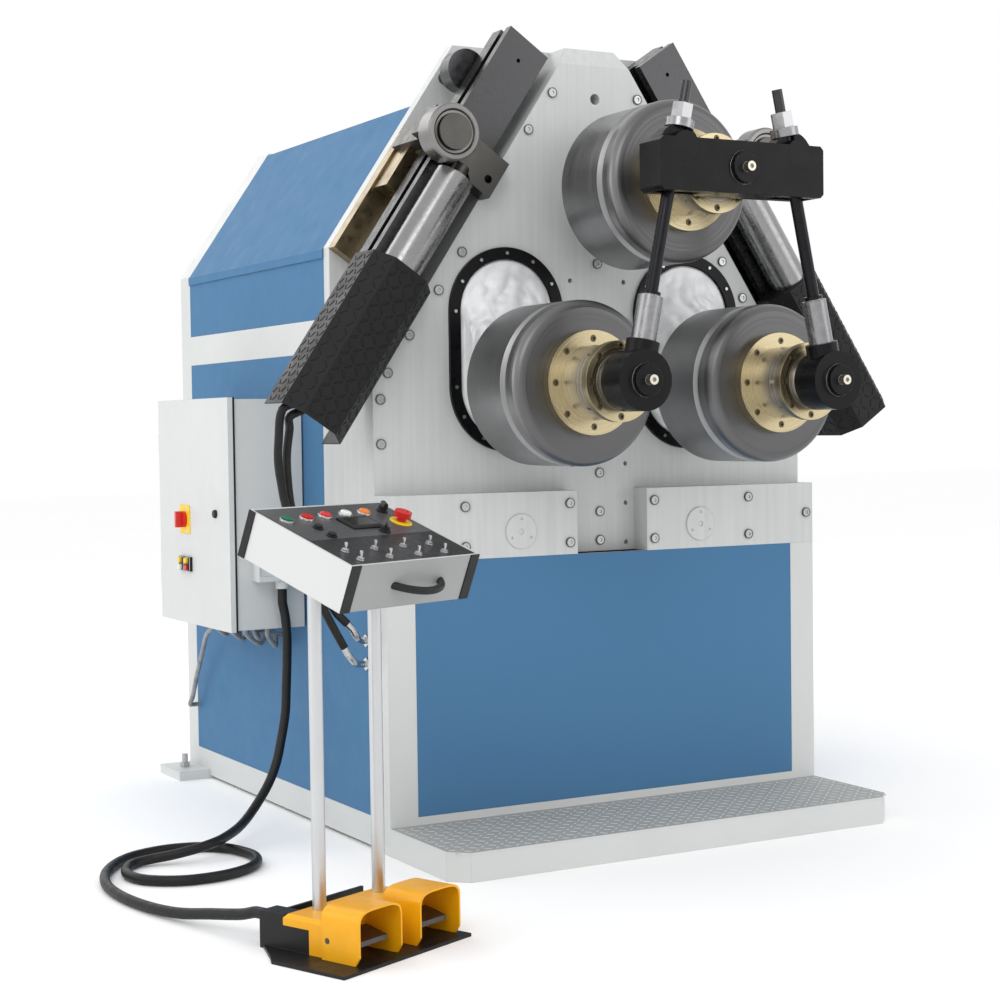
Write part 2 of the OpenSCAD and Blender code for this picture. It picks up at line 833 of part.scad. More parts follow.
module carriage(x) {
    difference() {
        bar3([x - carriage_half, carriage_front, low_z - carriage_half],
            [x + carriage_half, carriage_back, low_z + carriage_half]);
        disc_y([x, low_z], carriage_front - over, carriage_back - over, shaft_r + run_gap);
    }
    disc_y([x, low_z], carriage_back, drive_y, drive_r);
    disc_y([x, low_z], drive_y, drive_y + drive_cap_l, drive_cap_r);
    post([x, press_y], rod_low, low_z - carriage_half, rod_r, round_fn);
}

module left_carriage() color(steel) carriage(-roll_x);

module right_carriage() color(steel) carriage(roll_x);

module shaft(x, z) {
    on_axis(x, z) {
        rotate_extrude($fn = round_fn) polygon([[0, -shaft_back], [shaft_r, -shaft_back],
            [shaft_r, collar_gap], [collar_r, collar_gap], [collar_r, roll_back],
            [shaft_r, roll_back], [shaft_r, fl2_front], [hub_r, fl2_front], [hub_r, hub_front],
            [journal_r, hub_front], [journal_r, journal_front],
            [end_disc_r, journal_front + fit_gap], [end_disc_r, journal_front + end_disc_t],
            [0, journal_front + end_disc_t]]);
        translate([0, 0, journal_front + end_disc_t]) difference() {
            cylinder(h = end_screw_h, r = end_screw_r, $fn = fine_fn);
            translate([0, 0, end_screw_h / 2]) cylinder(h = end_screw_h, r = end_screw_r / 2, $fn = hex_fn);
        }
        difference() {
            translate([0, 0, fl1_front]) cylinder(h = sleeve_len, r = sleeve_r, $fn = round_fn);
            post([0, 0], fl1_front - over, sleeve_front + over, shaft_r + fit_gap, round_fn);
            for (k = [0 : sleeve_slots - 1]) rotate([0, 0, k * 360 / sleeve_slots])
                translate([sleeve_r - sleeve_slot_d, -sleeve_slot_w / 2, sleeve_front - sleeve_slot_l])
                    cube([2 * sleeve_slot_d, sleeve_slot_w, sleeve_slot_l + over]);
        }
    }
}

module left_shaft() color(steel) shaft(-roll_x, low_z);

module right_shaft() color(steel) shaft(roll_x, low_z);

module top_shaft() color(steel) shaft(0, top_z);

module roll(x, z) {
    bottom = roll_r - groove_depth;
    g = roll_back + groove_at;
    nose = [for (i = [0 : nose_steps]) let (a = 90 * i / nose_steps)
        [roll_r - nose_r + nose_r * cos(a), roll_front - nose_r + nose_r * sin(a)]];
    on_axis(x, z) rotate_extrude($fn = round_fn) polygon(concat([[shaft_r + fit_gap, roll_front],
        [shaft_r + fit_gap, roll_back], [roll_r - chamfer_r, roll_back], [roll_r, roll_back + chamfer_r],
        [roll_r, g], [bottom, g + groove_slope], [bottom, g + groove_slope + groove_w],
        [roll_r, g + 2 * groove_slope + groove_w]], nose));
}

module left_roll() color(steel) roll(-roll_x, low_z);

module right_roll() color(steel) roll(roll_x, low_z);

module top_roll() color(steel) roll(0, top_z);

module flange(r, z0, z1, pcd) {
    difference() {
        translate([0, 0, z0]) cylinder(h = z1 - z0, r = r, $fn = round_fn);
        post([0, 0], z0 - over, z1 + over, shaft_r + fit_gap, round_fn);
        for (k = [0 : fl_holes - 1]) rotate([0, 0, k * 360 / fl_holes]) translate([pcd, 0, z1 - fl_hole_d])
            cylinder(h = 2 * fl_hole_d, r = fl_hole_r, $fn = fine_fn);
    }
}

module flanges(x, z) {
    on_axis(x, z) {
        flange(fl1_r, roll_front, fl1_front, fl1_pcd);
        flange(fl2_r, sleeve_front, fl2_front, fl2_pcd);
    }
}

module left_flanges() color(plated) flanges(-roll_x, low_z);

module right_flanges() color(plated) flanges(roll_x, low_z);

module top_flanges() color(plated) flanges(0, top_z);

// Tie yoke

module crosshead() color(black) difference() {
    prism_y(-tie_front - cross_d / 2, cross_d / 2 - tie_front) polygon([
        [-cross_half, top_z - cross_h / 2 + cross_edge], [-cross_half, top_z + cross_h / 2 - cross_edge],
        [cross_edge - cross_half, top_z + cross_h / 2], [cross_half - cross_edge, top_z + cross_h / 2],
        [cross_half, top_z + cross_h / 2 - cross_edge], [cross_half, top_z - cross_h / 2 + cross_edge],
        [cross_half - cross_edge, top_z - cross_h / 2], [cross_edge - cross_half, top_z - cross_h / 2]]);
    disc_y([0, top_z], -tie_front - cross_d, cross_d - tie_front, journal_r + run_gap);
    for (s = [-1, 1]) {
        bar3([s * trunnion_x - cross_slot_half, -tie_front - cross_slot_d / 2, top_z - cross_h],
            [s * trunnion_x + cross_slot_half, cross_slot_d / 2 - tie_front, top_z + cross_h]);
        disc_y([s * trunnion_x, trunnion_z], -tie_front - cross_d, cross_d - tie_front,
            trunnion_pin_r + run_gap);
    }
}

module trunnion(s) {
    translate([s * trunnion_x, -tie_front, trunnion_z]) rotate([0, -s * tie_a, 0]) difference() {
        union() {
            disc_y([0, 0], -trunnion_t / 2, trunnion_t / 2, trunnion_r);
            disc_y([0, 0], -cross_d / 2, cross_d / 2, trunnion_pin_r);
        }
        bar3([-trunnion_r, -trunnion_t, trunnion_flat], [trunnion_r, trunnion_t, 2 * trunnion_r]);
        post([0, 0], -2 * trunnion_r, 2 * trunnion_r, tie_hole_r, round_fn);
    }
}

module left_trunnion() color(black) trunnion(-1);

module right_trunnion() color(black) trunnion(1);

module on_tie(s) {
    translate([s * roll_x, -tie_front, low_z]) rotate([0, -s * tie_a, 0]) children();
}

module tie_eye(s) {
    on_tie(s) difference() {
        union() {
            disc_y([0, 0], -eye_t / 2, eye_t / 2, eye_r);
            post([0, 0], 0, eye_neck_top, eye_neck_r, round_fn);
        }
        disc_y([0, 0], -eye_t, eye_t, journal_r + run_gap);
    }
}

module left_tie_eye() color(black) tie_eye(-1);

module right_tie_eye() color(black) tie_eye(1);

module tie_rod(s) {
    seat = tie_len + trunnion_flat;
    on_tie(s) {
        post([0, 0], turnbuckle[0], turnbuckle[1], turnbuckle_r, round_fn);
        post([0, 0], turnbuckle[1], turnbuckle[1] + turnbuckle_neck, turnbuckle_neck_r, round_fn);
        post([0, 0], turnbuckle[1], seat, tie_r, round_fn);
        post([0, 0], seat + seam, tie_stud_top, tie_stud_r, fine_fn);
        post([0, 0], seat + seam, seat + seat_nut_h, seat_nut_r, fine_fn);
        post([0, 0], seat + seat_nut_h, seat + seat_nut_h + tie_nut_h, tie_nut_r, hex_fn);
    }
}

module left_tie_rod() color(dark_steel) tie_rod(-1);

module right_tie_rod() color(dark_steel) tie_rod(1);

// Guide units

module guide_rails() color(dark_steel) both_sides() on_shoulder() {
    x0 = rail_in - rail_w / 2;
    x1 = rail_in + rail_w / 2;
    difference() {
        translate([0, 0, rail_low]) linear_extrude(rail_top - rail_low) polygon([[x0, rail_steps[0]],
            [x1, rail_steps[0]], [x1, rail_steps[1]], [x1 - rail_neck, rail_steps[1]],
            [x1 - rail_neck, rail_steps[2]], [x1, rail_steps[2]], [x1, rail_steps[3]],
            [x0, rail_steps[3]], [x0, rail_steps[2]], [x0 + rail_neck, rail_steps[2]],
            [x0 + rail_neck, rail_steps[1]], [x0, rail_steps[1]]]);
        post([rail_in, barrel_y], rail_low - over, barrel_z[1] + over, barrel_r + fit_gap, round_fn);
        disc_y([rail_in, rail_hole_z], -over, rail_hole_d, rail_hole_r, fine_fn);
    }
    difference() {
        post([rail_in, barrel_y], barrel_z[0], barrel_z[1], barrel_r, round_fn);
        post([rail_in, barrel_y], piston_z[0] - over, barrel_z[1] + over, piston_r + run_gap, round_fn);
    }
    disc_y([idler_x, idler_z], idler_y[0], idler_y[1], idler_r);
    disc_y([idler_x, idler_z], idler_y[1], rabbet_y, idler_pin_r, fine_fn);
}

module guide_brackets() color(plated) both_sides() on_shoulder()
    bar3([0, rabbet_y - bracket_t, bracket_z[0]], [bracket_w, rabbet_y, bracket_z[1]]);

module guide_covers() color(black) both_sides() on_shoulder() difference() {
    translate([cover_x, 0, cover_top - cover_len]) linear_extrude(cover_len) cover_outline(0);
    translate([cover_x, 0, cover_top - cover_len - over]) linear_extrude(cover_len + over - cover_skin)
        cover_outline(cover_skin);
    post([rail_in, barrel_y], cover_top - cover_len, cover_top + over, barrel_r + fit_gap, round_fn);
    bar3([cover_x + cover_skin, 0, cover_top - 2 * cover_skin],
        [cover_x + cover_w - cover_skin, cover_back + over, cover_top + over]);
}

module cover_outline(skin) {
    back = cover_back + (skin > 0 ? over : 0);
    shift = skin * tan(atan2(cover_cut[1], cover_cut[0]) / 2);
    bend = cover_front + cover_cut[1] + skin - shift;
    front = cover_front + skin;
    polygon([[skin, back], [skin, bend], [cover_cut[0] + shift, front],
        [cover_w - cover_cut[0] - shift, front], [cover_w - skin, bend], [cover_w - skin, back]]);
}

module guide_hoses() color(black) {
    for (i = [0 : len(hose_ports) - 1]) {
        port = hose_ports[i];
        lead = [for (d = [0, hose_lead]) shoulder_point([port[0], port[1], barrel_z[0] - d])];
        turn = shoulder_point(hose_turns[i]);
        tube(smooth(concat(lead, [turn], [for (p = hose_runs[i]) beside(p)]), 3), hose_r, [0, 1, 0]);
    }
}

module hose_fittings() color(bright) {
    for (run = pipe_runs) {
        tube(smooth([for (p = run) beside(p)], 3), pipe_r, [0, 1, 0]);
        end = run[len(run) - 1];
        disc_x([end[1], end[2]], -half_w - pipe_nut_l, -half_w, pipe_nut_r, hex_fn);
    }
}

module guide_carriage() on_shoulder() {
    difference() {
        prism_y(slide_y[0], slide_y[1]) polygon([[slide_x[0], slide_cut[1][1]], [slide_x[0], slide_z[1]],
            [slide_x[1], slide_z[1]], [slide_x[1], slide_z[0]], [slide_cut[1][0], slide_z[0]],
            [slide_cut[0][0], slide_cut[1][1]]]);
        disc_y([slide_hole[0], slide_hole[1]], slide_y[0] - over, slide_y[1] + over, slide_hole_r, fine_fn);
    }
    bar3([arm_x[0], slide_y[1] - over, arm_z], [arm_x[1], arm_back, slide_z[1]]);
    post([rail_in, barrel_y], piston_z[0], slide_cut[1][1] + over, piston_r, round_fn);
    disc_y([roller_x, roller_z], roller_y[0], slide_y[0] + over, roller_pin_r);
    disc_y([roller_x, roller_z], roller_y[0] - roller_cap_t, roller_y[0] - slot_gap, roller_cap_r);
    disc_y([roller_x, roller_z], roller_y[0] - roller_cap_t, roller_y[0], roller_pin_r);
}

module left_guide_carriage() color(dark_steel) guide_carriage();

module right_guide_carriage() color(dark_steel) mirror([1, 0, 0]) guide_carriage();

module guide_block() on_shoulder() difference() {
    bar3([block_x[0], block_y[0], block_z[0]], [block_x[1], block_y[1], block_z[1]]);
    for (h = block_holes) disc_y(h, block_y[0] - over, block_y[0] + block_hole_d, block_hole_r, fine_fn);
}

module left_guide_block() color(plated) guide_block();

module right_guide_block() color(plated) mirror([1, 0, 0]) guide_block();

module guide_roller() on_shoulder() translate([roller_x, roller_y[1], roller_z]) rotate([90, 0, 0]) {
    w = roller_y[1] - roller_y[0];
    rotate_extrude($fn = round_fn) polygon([[roller_pin_r + run_gap, 0], [guide_roller_r, 0],
        [guide_roller_r, w - roller_step], [guide_roller_r - roller_step, w], [roller_step_r, w],
        [roller_step_r - roller_step, w - roller_step], [roller_pin_r + run_gap, w - roller_step]]);
}

module left_guide_roller() color(steel) guide_roller();

module right_guide_roller() color(steel) mirror([1, 0, 0]) guide_roller();

// Cabinet

module cabinet_box() color(grey) {
    difference() {
        bar3([-cab_x, cab_y, cab_z], [-cab_back_x, cab_y + cab_w, cab_z + cab_h]);
        bar3([-cab_x - over, cab_y + cab_skin, cab_z + cab_skin],
            [-cab_back_x - cab_skin, cab_y + cab_w - cab_skin, cab_z + cab_h - cab_skin]);
    }
    stand_ys = [cab_y + cab_stand_w, cab_y + cab_w - 2 * cab_stand_w];
    stand_zs = [cab_z + cab_stand_w, cab_z + cab_h - 2 * cab_stand_w];
    hinge_x = -cab_x - door_gap - door_t / 2;
    side_y = cab_y + cab_w;
    face = -cab_back_x - cab_skin - plate_gap;
    top = stand_zs[1] + cab_stand_w;
    for (y = stand_ys) bar3([-cab_back_x, y, stand_zs[0]], [-half_w, y + cab_stand_w, top]);
    bar3([face - plate_t, stand_ys[0], stand_zs[0]], [face, stand_ys[1] + cab_stand_w, top]);
    for (y = stand_ys) for (z = stand_zs)
        bar3([face, y, z], [face + plate_gap - fit_gap, y + cab_stand_w, z + cab_stand_w]);
    for (y = relay_ys) for (z = relay_zs)
        bar3([face - plate_t - relay_d, y, z], [face - plate_t, y + relay_w, z + relay_h]);
    for (z = hinge_zs) {
        post([hinge_x, side_y + door_lap + hinge_r], z, z + hinge_h, hinge_r);
        bar3([hinge_x, side_y - over, z], [cab_stand_w - cab_x, side_y + hinge_r, z + hinge_h]);
    }
    cabinet_plug();
}

module cabinet_plug() {
    x0 = -half_w - plug_out[1];
    y0 = cab_y - plug_d;
    bar3([x0, y0, plug_z[0]], [-half_w - plug_out[0], cab_y - fit_gap, plug_z[1]]);
    bar3([x0 - lever_t, y0 - lever_t, plug_z[0]], [x0, cab_y - plug_d / 2, plug_z[0] + lever_run]);
    bar3([x0 - lever_t, y0 - lever_t, plug_z[0]], [x0 + lever_run, y0, plug_z[0] + lever_w]);
    post([-half_w - gland_out, cab_y - gland_in], plug_z[0] - gland_h, plug_z[0], gland_r);
}

module cabinet_door() color(grey) {
    x0 = -cab_x - door_gap - door_t;
    difference() {
        bar3([x0, cab_y - door_lap, cab_z - door_lap],
            [x0 + door_t, cab_y + cab_w + door_lap - seam, cab_z + cab_h + door_lap]);
        bar3([x0 + door_skin, cab_y + door_lap, cab_z + door_lap],
            [x0 + door_t + over, cab_y + cab_w - door_lap, cab_z + cab_h - door_lap]);
        for (z = hinge_zs) bar3([x0 + door_skin, cab_y + cab_w - door_lap - over, z - seam],
            [x0 + door_t + over, cab_y + cab_w + 2 * door_lap, z + hinge_h + seam]);
    }
    bar3([x0 - switch_plate_t, switch_y - switch_plate, switch_z - switch_plate],
        [x0, switch_y + switch_plate, switch_z + switch_plate]);
    disc_x([lock_y, lock_z], x0 - lock_t, x0, lock_r);
    for (y = unit_ys) {
        bar3([x0 - unit_t, y - unit_half, unit_z - unit_half], [x0, y + unit_half, unit_z + unit_half]);
        for (z = [unit_z - unit_half / 2, unit_z + unit_half / 2])
            disc_x([y, z], x0 - unit_t - unit_cap_t, x0 - unit_t, unit_cap_r);
    }
}

module main_switch() color(red) {
    x0 = -cab_x - door_gap - door_t - switch_plate_t - seam;
    disc_x([switch_y, switch_z], x0 - switch_base, x0, switch_r, round_fn);
    bar3([x0 - switch_base - switch_grip_h, switch_y - switch_grip_w / 2, switch_z - switch_r],
        [x0 - switch_base / 2, switch_y + switch_grip_w / 2, switch_z + switch_r]);
}

module cabinet_cables() color(steel) {
    for (d = wire_drops) {
        run = [[d[0], d[1], cab_z], [d[0], d[1], cab_z - 3 * wire_r],
            [d[0] / 2, d[1] + wire_lean, wire_low],
            [3 * wire_r, d[1] + 2 * wire_lean, wire_wall_z], [0, d[1] + 2 * wire_lean, wire_wall_z]];
        tube(smooth([for (p = run) beside(p)], 4), wire_r, [0, 1, 0]);
    }
    tube(smooth([for (p = mains_run) beside(p)], 3), wire_r, [1, 0, 0]);
}

// Console and pedals

module console_housing() color(grey) on_console() difference() {
    bar3([-con_w / 2, -con_d / 2, -con_t], [con_w / 2, con_d / 2, 0]);
    bar3([con_skin - con_w / 2, con_skin - con_d / 2, con_skin - con_t],
        [con_w / 2 - con_skin, con_d / 2 - con_skin, over]);
}

module console_fascia() color(dark_steel) on_console() {
    edge = con_skin + fascia_gap;
    low = -fascia_drop - fascia_t;
    difference() {
        bar3([edge - con_w / 2, edge - con_d / 2, low], [con_w / 2 - edge, con_d / 2 - edge, -fascia_drop]);
        post(estop_at, low - over, over, estop_stem_r + slot_gap, round_fn);
        for (p = [start_at, stop_at]) post(p, low - over, over, push_r + slot_gap);
    }
}

module console_trim() color(black) on_console() {
    for (s = [-1, 1]) scale([s, 1, 1]) {
        bar3([con_w / 2 - trim_w, -con_d / 2 - trim_t, -con_t], [con_w / 2, -con_d / 2, 0]);
        bar3([con_w / 2, con_d / 2 - trim_side_w, -con_t], [con_w / 2 + trim_t, con_d / 2, 0]);
    }
    difference() {
        translate([grip_u, grip_bend_r - grip_out - con_d / 2, grip_w]) rotate([0, 0, -90 - grip_bend])
            rotate_extrude(angle = 2 * grip_bend, $fn = round_fn) translate([grip_bend_r, 0])
            circle(grip_r, $fn = fine_fn);
        bar3([-con_w / 2, -con_d / 2, grip_w - con_t], [con_w / 2, con_d / 2, grip_w + con_t]);
    }
}

module console_controls() color(bright) on_console() translate([0, 0, -fascia_drop]) {
    for (p = lamps) post(p, 0, lamp_h, lamp_r);
    for (p = toggles) {
        post(p, 0, toggle_h, toggle_r);
        post(p, toggle_h, toggle_stick_h, toggle_stick_r);
    }
    for (p = concat(small_caps, [selector])) post(p, 0, toggle_h, push_r - toggle_stick_r);
    post(key_at, 0, key_h, key_r);
    bar3([display[0][0], display[0][1], 0], [display[1][0], display[1][1], display_h]);
    difference() {
        post(estop_at, 0, estop_ring_h, estop_ring_r, round_fn);
        post(estop_at, -over, estop_ring_h + over, estop_stem_r + slot_gap, round_fn);
    }
    for (p = [start_at, stop_at]) difference() {
        post(p, 0, push_bezel_h, push_bezel_r);
        post(p, -over, push_bezel_h + over, push_r + slot_gap);
    }
}

module emergency_stop() color(red) on_console() translate([0, 0, -fascia_drop]) {
    post(estop_at, -stem_d, estop_stem_h, estop_stem_r, round_fn);
    post(estop_at, estop_stem_h, estop_stem_h + estop_h, estop_r, round_fn);
}

module push_button(p) on_console() translate([0, 0, -fascia_drop]) post(p, -stem_d, push_h, push_r);

module start_button() color(green) push_button(start_at);

module stop_button() color(red) push_button(stop_at);

module stand_poles() color(bright) on_stand() {
    drop = con_z + (pole_v * sin(con_tilt) - con_t) / cos(con_tilt);
    for (s = [-1, 1]) difference() {
        post([s * pole_gap / 2, pole_v], tray_t, drop + con_t, pole_r, round_fn);
        translate([0, 0, con_z]) rotate([con_tilt, 0, 0])
            bar3([-con_w, -con_d, -con_t], [con_w, con_d, con_t]);
    }
}

module pedal_tray() color(black) on_stand() {
    linear_extrude(tray_t) polygon(concat([[tray_u[0], tray_v[0]]], tray_cut,
        [[tray_u[1], tray_v[1]], [tray_u[1], tray_v[0]]]));
    prism_x(entry_u[0], entry_u[1]) polygon([[entry_v[0], 0], [entry_v[0], entry_low],
        [entry_v[1] + seam, entry_low], [entry_v[1] + seam, entry_top], [entry_v[2], entry_top],
        [entry_v[2], 0]]);
    bar3([entry_u[1], tray_v[1] - tray_t, 0], [tray_u[1], tray_v[1], tray_wall_top]);
}

function guard_arch(a) = [sign(cos(a)) * pow(abs(cos(a)), 2 / guard_power), pow(sin(a), 2 / guard_power)];

module guard_profile(skin) {
    w = guard_w / 2 - skin;
    h = guard_crown - skin;
    low = tray_t - (skin > 0 ? over : 0);
    polygon(concat([[-w, low], [w, low]], [for (i = [0 : guard_steps])
        let (q = guard_arch(180 * i / guard_steps)) [w * q[0], guard_side + h * q[1]]]));
}

module guard_shell() difference() {
    prism_y(guard_v[0], guard_v[1]) guard_profile(0);
    prism_y(guard_v[0] - over, guard_v[1] - guard_skin) guard_profile(guard_skin);
    slope = guard_mouth[1] / guard_mouth[0];
    prism_x(-guard_w, guard_w) polygon([[guard_v[0] - over, tray_t - over],
        [guard_v[0] + guard_mouth[0], tray_t - over],
        [guard_v[0] - over, tray_t - over + slope * (guard_mouth[0] + over)]]);
}

module guard_lid() difference() {
    prism_x(lid_u[0], lid_u[1]) polygon([[lid_v[0], tray_t], [lid_v[0], lid_z[1]],
        [lid_v[2] - lid_edge, lid_z[1]], [lid_v[2], lid_z[1] - lid_edge], [lid_v[2], lid_z[0]],
        [lid_v[1], lid_z[0]], [lid_v[1], tray_t]]);
    for (s = [-1, 1]) post([s * pole_gap / 2, pole_v], 0, lid_z[1] + over, pole_r + fit_gap, round_fn);
    prism_y(lid_v[0] - over, lid_v[2] + over) polygon([[lid_u[0] - over, lid_z[1] - lid_edge - over],
        [lid_u[0] + lid_edge + over, lid_z[1] + over], [lid_u[0] - over, lid_z[1] + over]]);
}

module pedal_guards() color(yellow) on_stand() {
    for (u = guard_us) difference() {
        translate([u, 0, 0]) guard_shell();
        translate([u - guard_w, pedal_pin_v, pedal_pin_z]) rotate([0, 90, 0])
            cylinder(h = 2 * guard_w, r = pedal_pin_r + run_gap, $fn = fine_fn);
    }
    guard_lid();
}

module pedal(u) on_stand() translate([u, 0, 0]) {
    prism_x(-pedal_w / 2, pedal_w / 2) polygon([[pedal_v[0], pedal_z], [pedal_v[1], pedal_z + pedal_rise],
        [pedal_pin_v, pedal_pin_z - pedal_pin_r], [pedal_pin_v, pedal_pin_z + pedal_pin_r],
        [pedal_v[1], pedal_z + pedal_rise + pedal_t], [pedal_v[0], pedal_z + pedal_t]]);
    translate([-guard_w / 2, pedal_pin_v, pedal_pin_z]) rotate([0, 90, 0])
        cylinder(h = guard_w, r = pedal_pin_r, $fn = fine_fn);
}

module left_pedal() color(dark_steel) pedal(guard_us[0]);

module right_pedal() color(dark_steel) pedal(guard_us[1]);

module conduit() color(black) {
    port = [-half_w - gland_out, cab_y - gland_in, plug_z[0] - gland_h];
    lead = [for (d = [0, cord_lead]) port - [0, 0, d]];
    tail = [for (d = [cord_lead, 0]) stand_point(conduit_end + [0, d, 0])];
    tube(smooth(concat(lead, conduit_run, tail), 2), conduit_r, [0, 1, 0]);
}

foot_plates();
front_wall();
side_walls();
head_block();
rear_plate();
hood_panels();
skin_panels();
pivot_bars();
frame_screws();
window_rings();
left_boot();
right_boot();
step_platform();
power_unit();
crosshead();
guide_rails();
guide_brackets();
guide_covers();
guide_hoses();
hose_fittings();
cabinet_box();
cabinet_cables();
console_housing();
console_trim();
console_fascia();
console_controls();
stand_poles();
pedal_tray();
pedal_guards();
conduit();
left_carriage();
right_carriage();
left_shaft();
right_shaft();
top_shaft();
left_roll();
right_roll();
top_roll();
left_flanges();
right_flanges();
top_flanges();
left_tie_eye();
right_tie_eye();
left_tie_rod();
right_tie_rod();
left_trunnion();
right_trunnion();
left_guide_carriage();
right_guide_carriage();
left_guide_block();
right_guide_block();
left_guide_roller();
right_guide_roller();
cabinet_door();
main_switch();
left_pedal();
right_pedal();
emergency_stop();
start_button();
stop_button();
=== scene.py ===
import math

import bmesh
import bpy
from mathutils import Matrix, Vector, noise


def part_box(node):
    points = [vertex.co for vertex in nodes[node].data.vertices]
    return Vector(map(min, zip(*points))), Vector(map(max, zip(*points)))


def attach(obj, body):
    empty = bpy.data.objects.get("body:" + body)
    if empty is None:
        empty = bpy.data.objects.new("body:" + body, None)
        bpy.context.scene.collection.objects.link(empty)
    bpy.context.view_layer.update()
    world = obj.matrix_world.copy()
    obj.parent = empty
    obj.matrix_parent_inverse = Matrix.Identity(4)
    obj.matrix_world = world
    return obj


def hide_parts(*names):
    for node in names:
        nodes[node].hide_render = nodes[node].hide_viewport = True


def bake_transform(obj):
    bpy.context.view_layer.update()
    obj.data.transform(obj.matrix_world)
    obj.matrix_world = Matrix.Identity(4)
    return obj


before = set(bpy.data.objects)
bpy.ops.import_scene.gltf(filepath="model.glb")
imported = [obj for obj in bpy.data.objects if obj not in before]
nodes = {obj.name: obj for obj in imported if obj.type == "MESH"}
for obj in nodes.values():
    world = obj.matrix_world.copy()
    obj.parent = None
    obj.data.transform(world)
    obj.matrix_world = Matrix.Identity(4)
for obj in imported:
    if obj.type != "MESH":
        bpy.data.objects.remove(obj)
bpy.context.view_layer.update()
scene = bpy.context.scene

# Sizes and places are in metres and turns in radians, but for names that end in _MM or _DEG

# The sides, each with the sign that mirrors the left one
SIDES = {"left": 1, "right": -1}

# Camera at the photograph's viewing angle
CAM_POS = Vector((-3.0047, -4.8077, 1.19))
CAM_YAW, CAM_PITCH, CAM_ROLL = 0.5063, 0.0384, -0.0134
FOCAL_SHARE = 1.90197
SENSOR_MM = 36.0
CLIP_END = 100.0


def make_camera():
    fwd = Vector((math.sin(CAM_YAW) * math.cos(CAM_PITCH), math.cos(CAM_YAW) * math.cos(CAM_PITCH),
                  -math.sin(CAM_PITCH)))
    level = Vector((math.cos(CAM_YAW), -math.sin(CAM_YAW), 0))
    upright = level.cross(fwd)
    right = level * math.cos(CAM_ROLL) + upright * math.sin(CAM_ROLL)
    up = upright * math.cos(CAM_ROLL) - level * math.sin(CAM_ROLL)
    data = bpy.data.cameras.new("camera")
    data.sensor_width = SENSOR_MM
    data.lens = FOCAL_SHARE * SENSOR_MM
    data.clip_end = CLIP_END
    cam = bpy.data.objects.new("camera", data)
    scene.collection.objects.link(cam)
    pose = Matrix((right, up, -fwd)).transposed().to_4x4()
    pose.translation = CAM_POS
    cam.matrix_world = pose
    scene.camera = cam


make_camera()


# Materials
class Mat:
    """A principled material whose textures follow the object's own coordinates."""

    def __init__(self, name):
        self.m = bpy.data.materials.new(name)
        self.m.use_nodes = True
        self.t = self.m.node_tree
        self.b = self.t.nodes["Principled BSDF"]
        self.co = self.t.nodes.new("ShaderNodeTexCoord").outputs["Object"]

    def new(self, kind, **props):
        n = self.t.nodes.new(kind)
        for k, v in props.items():
            setattr(n, k, v)
        return n

    def link(self, a, b):
        self.t.links.new(a, b)

    def feed(self, socket, v):
        """Link a socket to another one, or set its constant."""
        if isinstance(v, bpy.types.NodeSocket):
            self.link(v, socket)
        else:
            socket.default_value = (*v, 1) if isinstance(v, tuple) else v

    def set(self, **values):
        for k, v in values.items():
            self.feed(self.b.inputs[k.replace("_", " ")], v)

    def vector(self, operation, a, b=None, out="Vector"):
        """One step of vector arithmetic on the socket a and the constant b."""
        n = self.new("ShaderNodeVectorMath", operation=operation)
        self.link(a, n.inputs[0])
        if b is not None:
            n.inputs[1].default_value = b
        return n.outputs[out]

    def noise(self, scale, detail, stretch=None, rough=0.55, at=None):
        n = self.new("ShaderNodeTexNoise")
        n.inputs["Scale"].default_value = scale
        n.inputs["Detail"].default_value = detail
        n.inputs["Roughness"].default_value = rough
        if at is None:
            at = self.vector("MULTIPLY", self.co, stretch) if stretch else self.co
        self.link(at, n.inputs["Vector"])
        return n.outputs["Fac"]

    def ramp(self, fac, stops, kind="LINEAR"):
        n = self.new("ShaderNodeValToRGB")
        n.color_ramp.interpolation = kind
        elements = n.color_ramp.elements
        while len(elements) < len(stops):
            elements.new(0.5)
        for element, (place, color) in zip(elements, stops):
            element.position = place
            element.color = (*color, 1)
        self.link(fac, n.inputs["Fac"])
        return n.outputs["Color"]

    def span(self, fac, lo, hi, f0=0.3, f1=0.7):
        """The range f0 to f1 of fac, mapped to lo to hi."""
        n = self.new("ShaderNodeMapRange")
        for i, v in enumerate((f0, f1, lo, hi)):
            n.inputs[i + 1].default_value = v
        self.link(fac, n.inputs[0])
        return n.outputs[0]

    def bump(self, height, strength, depth, bevel=0):
        n = self.new("ShaderNodeBump")
        n.inputs["Strength"].default_value = strength
        n.inputs["Distance"].default_value = depth
        self.link(height, n.inputs["Height"])
        if bevel:
            edge = self.new("ShaderNodeBevel", samples=4)
            edge.inputs["Radius"].default_value = bevel
            self.link(edge.outputs["Normal"], n.inputs["Normal"])
        self.link(n.outputs["Normal"], self.b.inputs["Normal"])

    def mix(self, fac, a, b, blend="MIX"):
        n = self.new("ShaderNodeMix", data_type="RGBA", blend_type=blend)
        for key, v in (("Factor", fac), ("A", a), ("B", b)):
            self.feed(n.inputs[key], v)
        return n.outputs["Result"]


# Depths of the surface marks
PEEL, GRAIN, FILM, CRUMPLE = 0.0006, 0.0004, 0.0003, 0.006
# Edge rounding of machined metal and of mouldings
METAL_EDGE, MOULD_EDGE = 0.0015, 0.0012
CORE_BLUR = 0.001


def shade(color, k):
    return tuple(min(1, x * k) for x in color)


